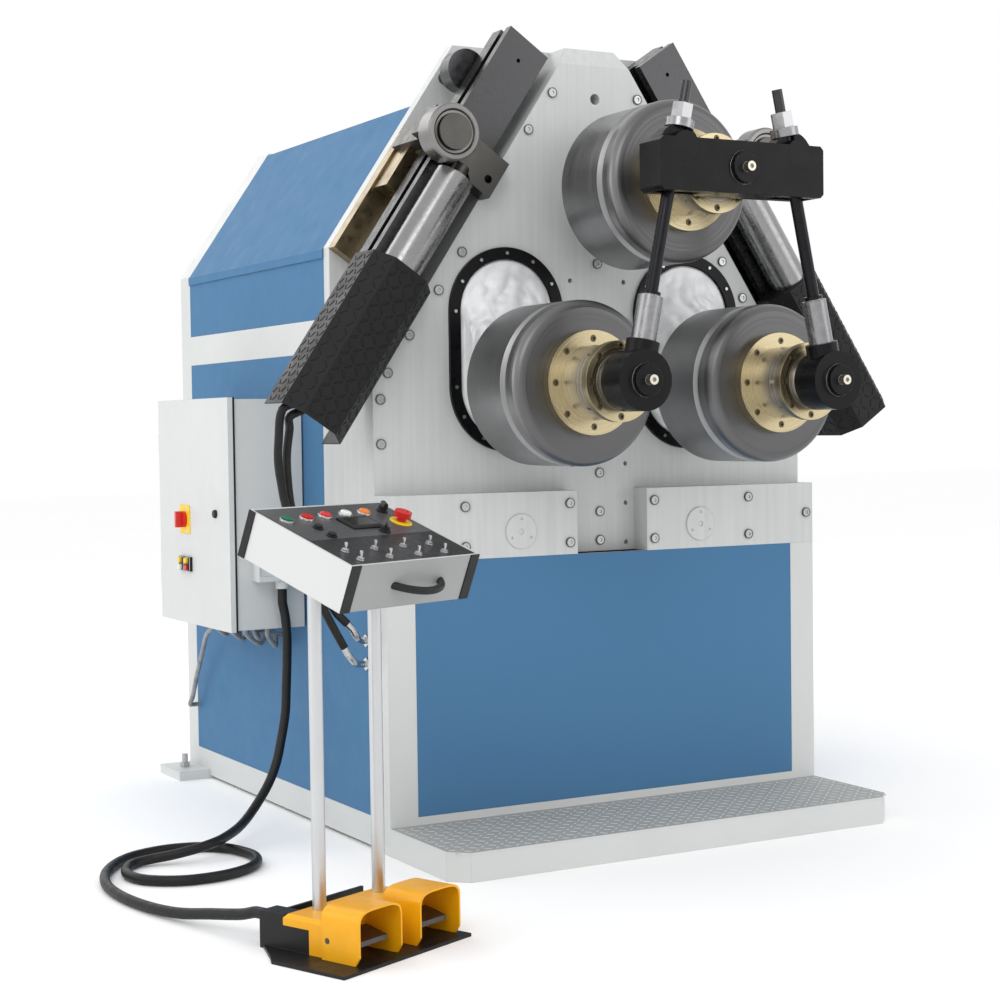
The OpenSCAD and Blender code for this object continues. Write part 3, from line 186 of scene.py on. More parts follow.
def paint(name, color, rough=0.42, grain=420, orange=0.12, bevel=0.0025, dirt=0.95, gloss=0.4,
          brushed=None):
    """Enamel with orange peel, or with marks drawn out along the axis that brushed makes small."""
    m = Mat(name)
    broad = m.noise(scale=60, detail=5, stretch=brushed) if brushed else m.noise(scale=2.3, detail=6)
    m.set(Base_Color=m.ramp(broad, [(0.3, shade(color, dirt)), (0.62, color), (0.8, shade(color, 1.02))]),
          Roughness=m.span(m.noise(scale=14, detail=5), rough - 0.06, rough + 0.1),
          Specular_IOR_Level=gloss)
    m.bump(m.noise(grain, detail=3, stretch=brushed), strength=orange, depth=PEEL, bevel=bevel)
    return m.m


def metal(name, color, rough=0.3, grain=60, stretch=None, wear=0.82, bump=0.08):
    m = Mat(name)
    lines = m.noise(grain, detail=6, stretch=stretch)
    worn = m.ramp(m.noise(scale=7, detail=6), [(0.3, shade(color, wear)), (0.7, color)])
    m.set(Metallic=1.0, Base_Color=worn, Roughness=m.span(lines, rough - 0.07, rough + 0.12))
    m.bump(lines, strength=bump, depth=GRAIN, bevel=METAL_EDGE)
    return m.m


def turned(name, color, centre, rough=0.3, wear=0.8, face=None, core=None):
    """Steel turned about the Y axis through centre, its marks rings about that axis.

    face is (y from, y to, colour) of painted shade along the axis, and core is (radius, colour) inside a
    radius.
    """
    m = Mat(name)
    arm = m.vector("MULTIPLY", m.vector("SUBTRACT", m.co, (centre.x, 0, centre.z)), (1, 0, 1))
    radius = m.vector("LENGTH", arm, out="Value")
    parts = m.new("ShaderNodeSeparateXYZ")
    m.link(m.co, parts.inputs[0])
    along = parts.outputs["Y"]
    ring = m.new("ShaderNodeCombineXYZ")
    m.link(radius, ring.inputs["X"])
    m.link(along, ring.inputs["Y"])
    lines = m.noise(scale=150, detail=6, rough=0.5, at=ring.outputs[0])
    worn = m.ramp(m.noise(scale=9, detail=7), [(0.3, shade(color, wear)), (0.7, color)])
    body = m.mix(m.span(lines, 0, 1), worn, shade(color, 1.12))
    # Painted shade: the colour of face blends in from its first y to its second
    if face:
        body = m.mix(m.span(along, 0, 1, face[0], face[1]), body, face[2])
    if core:
        body = m.mix(m.span(radius, 1, 0, core[0] - CORE_BLUR, core[0] + CORE_BLUR), body, core[1])
    m.set(Metallic=1.0, Base_Color=body, Roughness=m.span(lines, rough - 0.06, rough + 0.12))
    m.bump(lines, strength=0.1, depth=PEEL, bevel=METAL_EDGE)
    return m.m


def banded(name, origin, along, bands, rough=0.25):
    """Metal in bands along a line from origin: bands are (end, colour)."""
    m = Mat(name)
    reach = bands[-1][0]
    unit = tuple(x / reach for x in along)
    place = m.vector("DOT_PRODUCT", m.vector("SUBTRACT", m.co, origin), unit, "Value")
    starts = [0.0] + [end / reach for end, color in bands]
    finish = m.ramp(place, [(start, color) for start, (end, color) in zip(starts, bands)], "CONSTANT")
    spots = m.noise(scale=45, detail=6)
    dull = m.ramp(spots, [(0.3, (0.8, 0.8, 0.8)), (0.7, (1, 1, 1))])
    m.set(Metallic=0.9, Base_Color=m.mix(1.0, finish, dull, "MULTIPLY"),
          Roughness=m.span(spots, rough - 0.08, rough + 0.12))
    m.bump(m.noise(scale=300, detail=3), strength=0.05, depth=FILM, bevel=MOULD_EDGE)
    return m.m


def rubber(name, color, rough=0.45):
    m = Mat(name)
    tones = m.ramp(m.noise(scale=30, detail=4), [(0.3, shade(color, 0.7)), (0.7, shade(color, 1.25))])
    m.set(Base_Color=tones, Roughness=m.span(m.noise(scale=60, detail=4), rough - 0.08, rough + 0.12),
          Specular_IOR_Level=0.3)
    m.bump(m.noise(scale=700, detail=2), strength=0.08, depth=GRAIN)
    return m.m


def plastic(name, color, rough=0.3, grain=900, coat=0.2):
    m = Mat(name)
    m.set(Base_Color=m.ramp(m.noise(scale=18, detail=4), [(0.3, shade(color, 0.92)), (0.7, color)]),
          Roughness=m.span(m.noise(scale=40, detail=4), rough - 0.06, rough + 0.1),
          Coat_Weight=coat, Specular_IOR_Level=0.3)
    m.bump(m.noise(grain, detail=2), strength=0.06, depth=FILM, bevel=MOULD_EDGE)
    return m.m


def cloth(name, color, weave=0.05):
    """Aluminised cloth: broad crumples, painted darker in their hollows as shade, with a little weave on
    them.
    """
    m = Mat(name)
    crumple = m.noise(scale=17, detail=5, rough=0.5)
    # Painted shade: the colour darkens where the crumple is low, in the hollows of its bump
    m.set(Metallic=0.2, Base_Color=m.ramp(crumple, [(0.3, shade(color, 0.86)), (0.55, color)]),
          Roughness=m.span(crumple, 0.42, 0.6))
    add = m.new("ShaderNodeMath", operation="MULTIPLY_ADD")
    add.inputs[1].default_value = weave
    m.link(m.noise(scale=900, detail=2), add.inputs[0])
    m.link(crumple, add.inputs[2])
    m.bump(add.outputs[0], strength=0.5, depth=CRUMPLE)
    return m.m


grey_paint = paint("grey_enamel", (0.60, 0.615, 0.61))
head_paint = paint("brushed_grey_enamel", (0.57, 0.585, 0.58), rough=0.36, grain=240, orange=0.16,
                   dirt=0.93, brushed=(1, 1, 0.03))
# Darker grey for a plate on the console's front face: painted shade for the face that tilts down, away from
# the light
front_shade = paint("console_front_shade", (0.32, 0.33, 0.33), rough=0.4, grain=240, orange=0.1, dirt=0.9)
blue_paint = paint("blue_enamel", (0.070, 0.180, 0.330), rough=0.6, grain=300, orange=0.05, dirt=0.985,
                   gloss=0.12)
black_paint = paint("black_enamel", (0.005, 0.005, 0.006), rough=0.28, grain=500, orange=0.1, bevel=0.002,
                    dirt=0.8, gloss=0.16)
cover_paint = paint("cover_black", (0.010, 0.010, 0.010), grain=500, orange=0.1, bevel=0.002, dirt=0.8,
                    gloss=0.22)
tray_paint = paint("tray_black", (0.007, 0.007, 0.007), rough=0.4, grain=400, orange=0.15, dirt=0.8,
                   gloss=0.3)
# Painted shadow for the counterbores round the frame's socket screws
shadow_paint = paint("counterbore_shadow", (0.16, 0.162, 0.162), rough=0.5, grain=500, orange=0.1, bevel=0,
                     dirt=0.8, gloss=0.2)
tread_grey = paint("tread_grey", (0.37, 0.38, 0.375), rough=0.62, grain=500, orange=0.06, bevel=0,
                   dirt=0.93, gloss=0.15)
stud_grey = paint("stud_grey", (0.56, 0.57, 0.565), rough=0.5, grain=500, orange=0.06, bevel=0, dirt=0.93,
                  gloss=0.2)
pole_silver = metal("pole_silver", (0.60, 0.61, 0.62), rough=0.34, stretch=(1, 1, 0.1), wear=0.94,
                    bump=0.03)
carriage_steel = metal("carriage_steel", (0.125, 0.12, 0.112), rough=0.34, grain=40)
pedal_steel = metal("pedal_steel", (0.13, 0.12, 0.115), rough=0.42)
inner_steel = metal("inner_castings", (0.2, 0.21, 0.22), rough=0.5)
zinc = metal("yellow_zinc", (0.38, 0.30, 0.18), grain=30, wear=0.6)
bright = metal("bright_steel", (0.5, 0.5, 0.51), rough=0.26, grain=80)
bronze = metal("bronzed_screw", (0.16, 0.135, 0.09), grain=80)
chrome = metal("chrome_sleeve", (0.62, 0.62, 0.63), rough=0.14, grain=90)
barrel_chrome = metal("barrel_chrome", (0.31, 0.31, 0.315), rough=0.22, wear=0.85, bump=0.03)
rubber_black = rubber("hose_rubber", (0.008, 0.008, 0.008))
rubber_grey = rubber("cable_grey", (0.30, 0.31, 0.32), rough=0.5)
black_plastic = plastic("black_plastic", (0.010, 0.010, 0.011), rough=0.42, coat=0)
guard_yellow = plastic("guard_yellow", (0.86, 0.40, 0.004), rough=0.34, grain=500, coat=0.12)
signal_yellow = plastic("signal_yellow", (0.84, 0.58, 0.006))
red_plastic = plastic("red_plastic", (0.62, 0.02, 0.015), rough=0.28)
green_plastic = plastic("green_plastic", (0.01, 0.16, 0.075), rough=0.28)
white_lens = plastic("white_lens", (0.75, 0.75, 0.72), rough=0.2)
orange_lens = plastic("orange_lens", (0.80, 0.20, 0.015), rough=0.2)
fascia_film = plastic("fascia_film", (0.022, 0.023, 0.025), rough=0.35, grain=1200, coat=0.1)
fascia_grey = plastic("fascia_grey", (0.075, 0.078, 0.082), rough=0.35, grain=1200, coat=0.1)
display_dark = plastic("display_dark", (0.02, 0.024, 0.02), rough=0.12, coat=0.5)
silver_cloth = cloth("silver_cloth", (0.86, 0.87, 0.88))

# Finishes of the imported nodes
LOOKS = {
    grey_paint: "foot_plates front_wall side_walls rear_plate step_platform cabinet_box console_housing "
                "cabinet_door",
    head_paint: "head_block pivot_bars",
    blue_paint: "hood_panels skin_panels",
    black_paint: "window_rings crosshead left_tie_eye right_tie_eye left_trunnion right_trunnion",
    cover_paint: "guide_covers",
    tray_paint: "pedal_tray",
    carriage_steel: "left_guide_carriage right_guide_carriage",
    pedal_steel: "left_pedal right_pedal",
    zinc: "guide_brackets left_guide_block right_guide_block",
    bright: "frame_screws",
    chrome: "hose_fittings",
    inner_steel: "power_unit left_carriage right_carriage",
    rubber_black: "conduit guide_hoses",
    rubber_grey: "cabinet_cables",
    black_plastic: "console_trim console_controls",
    guard_yellow: "pedal_guards",
    red_plastic: "main_switch emergency_stop stop_button",
    green_plastic: "start_button",
    fascia_film: "console_fascia",
    pole_silver: "stand_poles",
    silver_cloth: "left_boot right_boot",
}
ROLL_STEEL, SHAFT_ZINC, FLANGE_ZINC = (0.29, 0.29, 0.295), (0.60, 0.57, 0.50), (0.52, 0.44, 0.275)
# Painted shade: the roll is coloured darker from its nose to its front face
ROLL_FACE_Y, ROLL_NOSE_Y, ROLL_FACE_SHADE = -0.45, -0.41, (0.12, 0.12, 0.123)
ROLLER_STEEL, ROLLER_CORE = (0.24, 0.235, 0.23), (0.052, (0.05, 0.035, 0.028))
# Along a tie rod: sleeve, rod, seat nut, hex nut and bare end
TIE_BANDS = [(0.223, (0.30, 0.30, 0.31)), (0.6685, (0.020, 0.020, 0.022)), (0.6917, (0.36, 0.36, 0.37)),
             (0.734, (0.50, 0.50, 0.51)), (0.8, (0.06, 0.06, 0.063))]
TRUNNION_Z = 1.908
# From the front of a guide unit to its back: cylinder, rail and rear disc
GUIDE_FRONT = (0, -0.2, 0)
GUIDE_BANDS = [(0.1998, (0.085, 0.085, 0.088)), (0.312, (0.06, 0.06, 0.063)), (0.5, (0.10, 0.10, 0.105))]


def middle(name):
    """The centre of a node's box at rest."""
    lo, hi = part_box(name)
    return (lo + hi) / 2


AXES = {side: middle(side + "_roll") for side in ("left", "right", "top")}


def put(name, material):
    data = nodes[name].data
    data.materials.clear()
    data.materials.append(material)


def finish_nodes():
    for material, names in LOOKS.items():
        for name in names.split():
            put(name, material)
    for side, axis in AXES.items():
        put(side + "_roll", turned(side + "_roll_steel", ROLL_STEEL, axis, rough=0.34,
                                    face=(ROLL_NOSE_Y, ROLL_FACE_Y, ROLL_FACE_SHADE)))
        put(side + "_shaft", turned(side + "_shaft_zinc", SHAFT_ZINC, axis))
        put(side + "_flanges", turned(side + "_flange_zinc", FLANGE_ZINC, axis, rough=0.26))
    tie_y = middle("crosshead").y
    for side in SIDES:
        foot = Vector((AXES[side].x, tie_y, AXES[side].z))
        head = Vector((middle(side + "_trunnion").x, tie_y, TRUNNION_Z))
        put(side + "_tie_rod", banded(side + "_tie_finish", foot, (head - foot).normalized(), TIE_BANDS))
        roller = side + "_guide_roller"
        put(roller, turned(side + "_roller_steel", ROLLER_STEEL, middle(roller), rough=0.28, wear=0.7,
                           core=ROLLER_CORE))
    put("guide_rails", banded("guide_finish", GUIDE_FRONT, (0, 1, 0), GUIDE_BANDS, rough=0.26))


finish_nodes()

# Shapes of new pieces
TUBE_RESOLUTION = 5
STUD_SHOULDER, STUD_TOP_L, STUD_TOP_W = 0.55, 0.72, 0.55


def lathe(bm, profile, axes, n):
    """A turned shape: profile is (radius, height) from the bottom to the top, in its own axes."""
    rings = []
    for r, h in profile:
        turns = [2 * math.pi * k / n for k in range(n if r else 1)]
        rings.append([bm.verts.new(axes @ Vector((r * math.cos(a), r * math.sin(a), h))) for a in turns])
    for a, b in zip(rings, rings[1:]):
        for k in range(n):
            q = (k + 1) % n
            loop = [a[k % len(a)], a[q % len(a)], b[q % len(b)], b[k % len(b)]]
            loop = [v for i, v in enumerate(loop) if v not in loop[:i]]
            if len(loop) > 2:
                bm.faces.new(loop)


def join_rings(bm, rings):
    """Close a stack of rings of vertices into a solid."""
    bm.faces.new(rings[0][::-1])
    for low, top in zip(rings, rings[1:]):
        for k in range(len(low)):
            q = (k + 1) % len(low)
            bm.faces.new((low[k], low[q], top[q], top[k]))
    bm.faces.new(rings[-1])


def prism(bm, outline, z0, z1):
    join_rings(bm, [[bm.verts.new((x, y, z)) for x, y in outline] for z in (z0, z1)])


def block(bm, lo, hi, axes, edge=0.0):
    """A box with its upper edges cut by edge."""
    x0, y0, z0 = lo
    x1, y1, z1 = hi
    rows = [(x0, y0, x1, y1, z0), (x0, y0, x1, y1, z1 - edge)]
    if edge:
        rows.append((x0 + edge, y0 + edge, x1 - edge, y1 - edge, z1))
    join_rings(bm, [[bm.verts.new(axes @ Vector(p)) for p in ((a, b, z), (c, b, z), (c, d, z), (a, d, z))]
                    for a, b, c, d, z in rows])


def stud(bm, axes, length, width, height):
    """One raised bar of a tread plate."""
    a, b = length / 2, width / 2
    s = a * STUD_SHOULDER
    base = [(-a, 0), (-s, -b), (s, -b), (a, 0), (s, b), (-s, b)]
    top = [(x * STUD_TOP_L, y * STUD_TOP_W) for x, y in base]
    join_rings(bm, [[bm.verts.new(axes @ Vector((x, y, z))) for x, y in ring]
                    for ring, z in ((base, 0), (top, height))])


def link(name, data, body, material, slot):
    o = bpy.data.objects.new(name, data)
    scene.collection.objects.link(o)
    data.materials.append(material)
    if body:
        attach(o, body)
    return o


def mesh_piece(bm, name, body, material, slot, smooth_deg=None):
    bmesh.ops.recalc_face_normals(bm, faces=bm.faces)
    mesh = bpy.data.meshes.new(name)
    bm.to_mesh(mesh)
    bm.free()
    if smooth_deg:
        mesh.shade_smooth()
        mesh.set_sharp_from_angle(angle=math.radians(smooth_deg))
    return link(name, mesh, body, material, slot)


def build(name, body, material, slot, shapes, smooth_deg=None):
    """A piece made of shapes, each a maker and what it takes."""
    bm = bmesh.new()
    for maker, *args in shapes:
        maker(bm, *args)
    return mesh_piece(bm, name, body, material, slot, smooth_deg)


def towards_front(p):
    """Axes at p whose height runs to the front of the machine."""
    return Matrix.Translation(p) @ Vector((0, -1, 0)).to_track_quat("Z", "Y").to_matrix().to_4x4()


# Conduit, hoses and cables, on the routes of their solids
CONDUIT_R, HOSE_R, CABLE_R = 0.0138, 0.0118, 0.0078
ROUTE_STEPS, CABLE_STEPS = 5, 6
CONDUIT = [(-.830, .462, .717), (-.830, .462, .677), (-.823, .459, .632), (-.820, .456, .573),
           (-.824, .450, .497), (-.830, .444, .422), (-.838, .436, .347), (-.857, .424, .274),
           (-.882, .408, .203), (-.926, .382, .137), (-1.013, .325, .065), (-1.105, .229, .048),
           (-1.197, .153, .045), (-1.282, .165, .029), (-1.345, .190, .018), (-1.410, .164, .015),
           (-1.450, .070, .015), (-1.430, -.020, .015), (-1.350, -.080, .015), (-1.250, -.086, .015),
           (-1.160, -.050, .015), (-1.100, .020, .015), (-1.080, .110, .015), (-1.110, .220, .015),
           (-1.180, .282, .015), (-1.280, .296, .015), (-1.390, .252, .015), (-1.480, .140, .015),
           (-1.530, 0, .015), (-1.540, -.140, .015), (-1.520, -.290, .016), (-1.484, -.420, .022),
           (-1.440, -.540, .040), (-1.404, -.640, .056), (-1.3859, -.6909, .070), (-1.3703, -.7277, .070)]
HOSES = [[(-.9537, -.036, 1.2852), (-.9677, -.036, 1.2644), (-1.0230, -.030, 1.2451),
          (-1.026, -.006, 1.160), (-1.022, .008, 1.098), (-1.013, .008, 1.035), (-1.002, .008, .981),
          (-.968, .008, .870), (-.930, .010, .770), (-.893, .012, .692), (-.864, .012, .637),
          (-.833, .012, .582)],
         [(-.9313, -.025, 1.2701), (-.9453, -.025, 1.2493), (-.9956, -.018, 1.2266),
          (-.986, .012, 1.191), (-.987, .030, 1.129), (-.985, .035, 1.066), (-.976, .035, .981),
          (-.950, .035, .880), (-.905, .026, .765), (-.851, .012, .675), (-.824, .012, .649)]]
# Cables between the cabinet's floor and the side wall, by their (x, y) at the cabinet
LOOPS = [(-.840, .560), (-.880, .640), (-.820, .720), (-.870, .800), (-.830, .880), (-.860, .960)]
LOOP_LEAD, LOOP_RUN, LOOP_LOW_Z, LOOP_END_Z = 0.024, 0.12, 0.528, 0.552
CABINET_Z, WALL_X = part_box("cabinet_box")[0].z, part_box("side_walls")[0].x
MAINS = [(-.850, 1.0, .595), (-.850, 1.0, .560), (-.840, 1.080, .530), (-.815, 1.170, .500),
         (-.795, 1.260, .440), (-.785, 1.340, .360), (-.780, 1.400, .280), (-.775, 1.440, .245),
         (-.740, 1.440, .245)]


def smooth_route(points, steps):
    """A curve through the points whose first and last stretch stay straight."""
    p = [Vector(q) for q in points]
    out = [p[0]]
    for a, b, c, d in zip(p, p[1:], p[2:], p[3:]):
        for t in (j / steps for j in range(steps)):
            out.append(0.5 * (2 * b + (c - a) * t + (2 * a - 5 * b + 4 * c - d) * t * t
                              + (3 * b - a - 3 * c + d) * t ** 3))
    return out + p[-2:]


def length_of(points):
    return sum((b - a).length for a, b in zip(points, points[1:]))


def tube(name, points, radius, material, slot):
    data = bpy.data.curves.new(name, "CURVE")
    data.dimensions = "3D"
    data.bevel_depth = radius
    data.bevel_resolution = TUBE_RESOLUTION
    data.use_fill_caps = True
    spline = data.splines.new("POLY")
    spline.points.add(len(points) - 1)
    for q, v in zip(spline.points, points):
        q.co = (*v, 1)
    spline.use_smooth = True
    return link(name, data, "frame", material, slot)


def make_conduit():
    route = smooth_route(CONDUIT, ROUTE_STEPS)
    cord = tube("conduit_hose", route, CONDUIT_R, rubber_black, "black_rubber")
    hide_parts("conduit")
    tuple(CONDUIT[0])
    round(length_of(route), 3)


def make_tubes(name, routes, steps, radius, material, slot, node):
    """Several tubes in place of their node, which is hidden."""
    tubes = [tube("%s_%d" % (name, i), smooth_route(points, steps), radius, material, slot)
             for i, points in enumerate(routes)]
    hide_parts(node)


def loop_route(x, y):
    return [(x, y, CABINET_Z), (x, y, CABINET_Z - LOOP_LEAD),
            ((x + WALL_X) / 2, y + LOOP_RUN / 2, LOOP_LOW_Z),
            (WALL_X - LOOP_LEAD, y + LOOP_RUN, LOOP_END_Z), (WALL_X, y + LOOP_RUN, LOOP_END_Z)]


make_conduit()
make_tubes("guide_hose", HOSES, ROUTE_STEPS, HOSE_R, rubber_black, "black_rubber", "guide_hoses")
make_tubes("cabinet_cable", [loop_route(x, y) for x, y in LOOPS] + [MAINS], CABLE_STEPS, CABLE_R,
           rubber_grey, "grey_rubber", "cabinet_cables")

# Dust boots: crumpled aluminised cloth from the window ring to the shaft's collar
WINDOW_R, WINDOW_LIFT, COLLAR_R = 0.1520, 0.215, 0.0985
WINDOW_Y, COLLAR_Y = -0.004, -0.130
BOOT_N, BOOT_ROWS = 128, 40
BOOT_CLOTH = 0.0012
SLACK_POWER, REACH_POWER = 0.7, 1.5
FOLD_SCALE, FOLD_SHIFT, FOLD_ROWS = 9, 3, 2
CREASE_SCALE, CREASE_SHARP, CREASE_DEPTH = 1.7, 2.4, 0.010
PUCKER_SCALE, PUCKER_SHARP, PUCKER_SEED = 3.1, 2, Vector((7, 3, 1))
WRINKLE_SCALE, WRINKLE_DEPTH = 4.1, 0.006
SAG_DEPTH = 0.012
PULL_IN, PULL_WRINKLE, PULL_RISE = 0.02, 0.012, 0.1


def boot_point(axis, a, f):
    """The boot's point at angle a about the shaft and share f of the way from window to collar."""
    ca, sa = math.cos(a), math.sin(a)
    edge = Vector((WINDOW_R * ca, 0, WINDOW_R * sa + (WINDOW_LIFT if sa > 0 else 0)))
    p = edge.lerp(Vector((COLLAR_R * ca, 0, COLLAR_R * sa)), f)
    slack = math.sin(math.pi * f) ** SLACK_POWER
    q = Vector((p.x * FOLD_SCALE + axis.x * FOLD_SHIFT, p.z * FOLD_SCALE, f * FOLD_ROWS))
    crease = 1 - abs(noise.noise(q * CREASE_SCALE)) * CREASE_SHARP
    pucker = 1 - abs(noise.noise(q * PUCKER_SCALE + PUCKER_SEED)) * PUCKER_SHARP
    wrinkle = (noise.noise(q * WRINKLE_SCALE) + pucker) / 2
    y = WINDOW_Y + (COLLAR_Y - WINDOW_Y) * f ** REACH_POWER
    y += slack * (CREASE_DEPTH * crease - SAG_DEPTH + WRINKLE_DEPTH * wrinkle)
    pull = 1 - slack * (PULL_IN + PULL_WRINKLE * wrinkle)
    return Vector((axis.x + p.x * pull, min(y, WINDOW_Y), axis.z + p.z * pull + (1 - pull) * PULL_RISE))


def make_boot(side):
    axis = AXES[side]
    bm = bmesh.new()
    turns = [2 * math.pi * (k + 0.5) / BOOT_N for k in range(BOOT_N)]
    rows = [[bm.verts.new(boot_point(axis, a, i / BOOT_ROWS)) for a in turns] for i in range(BOOT_ROWS + 1)]
    for p, q in zip(rows, rows[1:]):
        for k in range(BOOT_N):
            bm.faces.new((p[k], p[(k + 1) % BOOT_N], q[(k + 1) % BOOT_N], q[k]))
    area = sum(f.calc_area() for f in bm.faces)
    o = mesh_piece(bm, side + "_dust_boot", None, silver_cloth, "silver_fabric", smooth_deg=60)
    o.modifiers.new("thickness", "SOLIDIFY").thickness = BOOT_CLOTH
    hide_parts(side + "_boot")
    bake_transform(o)


for side in SIDES:
    make_boot(side)

# Tread plate on the step
STEP_PITCH, STEP_COLUMNS, STEP_ROWS = 0.030, 49, 12
STEP_STUD = (0.026, 0.007, 0.0014)
STEP_BACK_Y = -0.104
STEP_X, STEP_BEVEL_X, STEP_BEVEL_Y = 0.725, 0.73, 0.44
PLATE_INSET, PLATE_BACK, PLATE_CUT = 0.001, 0.0008, 0.0474
PLATE_LOW, PLATE_TOP, STUD_LOW = -0.0002, 0.0003, -0.0001


def stud_turn(i, j):
    """Neighbouring studs lean either way."""
    return Matrix.Rotation(math.pi / 4 if (i + j) % 2 else -math.pi / 4, 4, "Z")


def make_step():
    lo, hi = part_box("step_platform")
    studs = []
    for i in range(STEP_COLUMNS):
        for j in range(STEP_ROWS):
            x, y = (i - STEP_COLUMNS // 2) * STEP_PITCH, STEP_BACK_Y - j * STEP_PITCH
            if abs(x) + max(0, -y - STEP_BEVEL_Y) < STEP_BEVEL_X and abs(x) < STEP_X:
                axes = Matrix.Translation((x, y, hi.z + STUD_LOW)) @ stud_turn(i, j)
                studs.append((stud, axes, *STEP_STUD))
    build("step_tread", "frame", stud_grey, "grey_paint", studs)
    x, back, front = hi.x - PLATE_INSET, hi.y - PLATE_BACK, lo.y + PLATE_INSET
    half = [(x, back), (x, front + PLATE_CUT), (x - PLATE_CUT, front)]
    outline = [(-px, py) for px, py in half] + half[::-1]
    build("step_plate", "frame", tread_grey, "grey_paint",
          [(prism, outline, hi.z + PLATE_LOW, hi.z + PLATE_TOP)])


make_step()

# Guide units along the head's shoulders: tread on the covers and chromed barrels
SHOULDER_Z, SHOULDER_DEG = 1.720, 34
COVER = [(0.008, 0.055), (0.008, -0.060), (0.055, -0.118), (0.167, -0.118), (0.214, -0.060), (0.214, 0.055)]
COVER_PITCH, COVER_ROWS, COVER_END = 0.026, 19, -0.540
COVER_STUD = (0.027, 0.006, 0.0015)
BARREL_AT = (0.105, -0.048, 0)
BARREL = [(0.0575, -0.039), (0.05815, -0.039), (0.05815, 0.2779), (0.0575, 0.2782)]
BARREL_N = 64

# Axes of each guide unit: across the shoulder, backwards, and up along it
SHOULDER = (Matrix.Translation((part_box("head_block")[0].x, 0, SHOULDER_Z))
            @ Matrix.Rotation(math.radians(SHOULDER_DEG), 4, "Y"))
GUIDE_AXES = {side: Matrix.Scale(flip, 4, (1, 0, 0)) @ SHOULDER for side, flip in SIDES.items()}


def cover_studs(axes):
    for (xa, ya), (xb, yb) in zip(COVER, COVER[1:]):
        run = Vector((xb - xa, yb - ya, 0))
        out = Vector((run.y, -run.x, 0)).normalized()
        basis = Matrix((run.normalized(), Vector((0, 0, 1)), out)).transposed().to_4x4()
        count = max(1, int(run.length / COVER_PITCH))
        for i in range(count):
            for j in range(COVER_ROWS):
                foot = Vector((xa, ya, COVER_END + (j + 0.5) * COVER_PITCH)) + run * ((i + 0.5) / count)
                yield stud, axes @ Matrix.Translation(foot) @ basis @ stud_turn(i, j), *COVER_STUD


for side, axes in GUIDE_AXES.items():
    build(side + "_cover_tread", "frame", cover_paint, "black_paint", cover_studs(axes))

# Socket screws in the plated flanges, by bolt circle and the flange's front
FLANGE_CIRCLES = ((0.118, -0.478), (0.092, -0.612))
FLANGE_SCREWS, SCREW_SUNK, SCREW_N = 8, 0.012, 16
SCREW = [(0, 0), (0.0082, 0), (0.0082, 0.0125), (0.0074, 0.0135), (0.0045, 0.0135), (0.0042, 0.008),
         (0, 0.008)]


def flange_screws(axis):
    for circle, front in FLANGE_CIRCLES:
        for a in (2 * math.pi * k / FLANGE_SCREWS for k in range(FLANGE_SCREWS)):
            seat = (axis.x + circle * math.cos(a), front + SCREW_SUNK, axis.z + circle * math.sin(a))
            yield lathe, SCREW, towards_front(seat), SCREW_N


for side, axis in AXES.items():
    build(side + "_flange_screws", side + "_roll_set", bronze, "bright_steel", flange_screws(axis),
          smooth_deg=40)
for side, axes in GUIDE_AXES.items():
    build(side + "_barrel_skin", "frame", barrel_chrome, "bright_steel",
          [(lathe, BARREL, axes @ Matrix.Translation(BARREL_AT), BARREL_N)], smooth_deg=40)

# Black end caps on the shafts: radius, and distance in front of the head
END_CAP = [(0.0136, 0.7465), (0.0136, 0.7474), (0.0395, 0.7474), (0.0404, 0.7466), (0.0404, 0.7366),
           (0.0448, 0.7366), (0.0448, 0.7361)]
END_CAP_N = 64
for side, axis in AXES.items():
    build(side + "_end_cap", side + "_roll_set", black_paint, "black_paint",
          [(lathe, END_CAP, towards_front((axis.x, 0, axis.z)), END_CAP_N)], smooth_deg=30)

# Rings of painted shadow in the counterbores round the frame's socket screws
HEAD_D, HEAD_SPREAD = 0.024, 0.001
RING = [(0.0122, -0.001), (0.0122, 0.0005), (0.0148, 0.0005), (0.0148, -0.001)]
RING_N = 32


def solid_boxes(name):
    """The lowest and highest corner of each solid of a node."""
    bm = bmesh.new()
    bm.from_mesh(nodes[name].data)
    seen, boxes = set(), []
    for start in bm.verts:
        if start in seen:
            continue
        seen.add(start)
        solid = [start]
        for v in solid:
            for w in (e.other_vert(v) for e in v.link_edges):
                if w not in seen:
                    seen.add(w)
                    solid.append(w)
        boxes.append([Vector([pick(v.co[i] for v in solid) for i in range(3)]) for pick in (min, max)])
    bm.free()
    return boxes


def counterbores():
    for lo, hi in solid_boxes("frame_screws"):
        size, mid = hi - lo, (lo + hi) / 2
        if max(abs(size.x - HEAD_D), abs(size.z - HEAD_D)) < HEAD_SPREAD:
            yield lathe, RING, towards_front((mid.x, hi.y, mid.z)), RING_N


build("counterbore_shadow_rings", "frame", shadow_paint, "black_paint", counterbores(), smooth_deg=30)

# Console, in its face's own axes: u to the right, v to the back, height off the face
CONSOLE_AT, CONSOLE_TURN_DEG, CONSOLE_TILT_DEG = (-1.158, -0.844, 0.953), 23, 21
CONSOLE = (Matrix.Translation(CONSOLE_AT) @ Matrix.Rotation(math.radians(CONSOLE_TURN_DEG), 4, "Z")
           @ Matrix.Rotation(math.radians(CONSOLE_TILT_DEG), 4, "X"))
FACE = -0.001
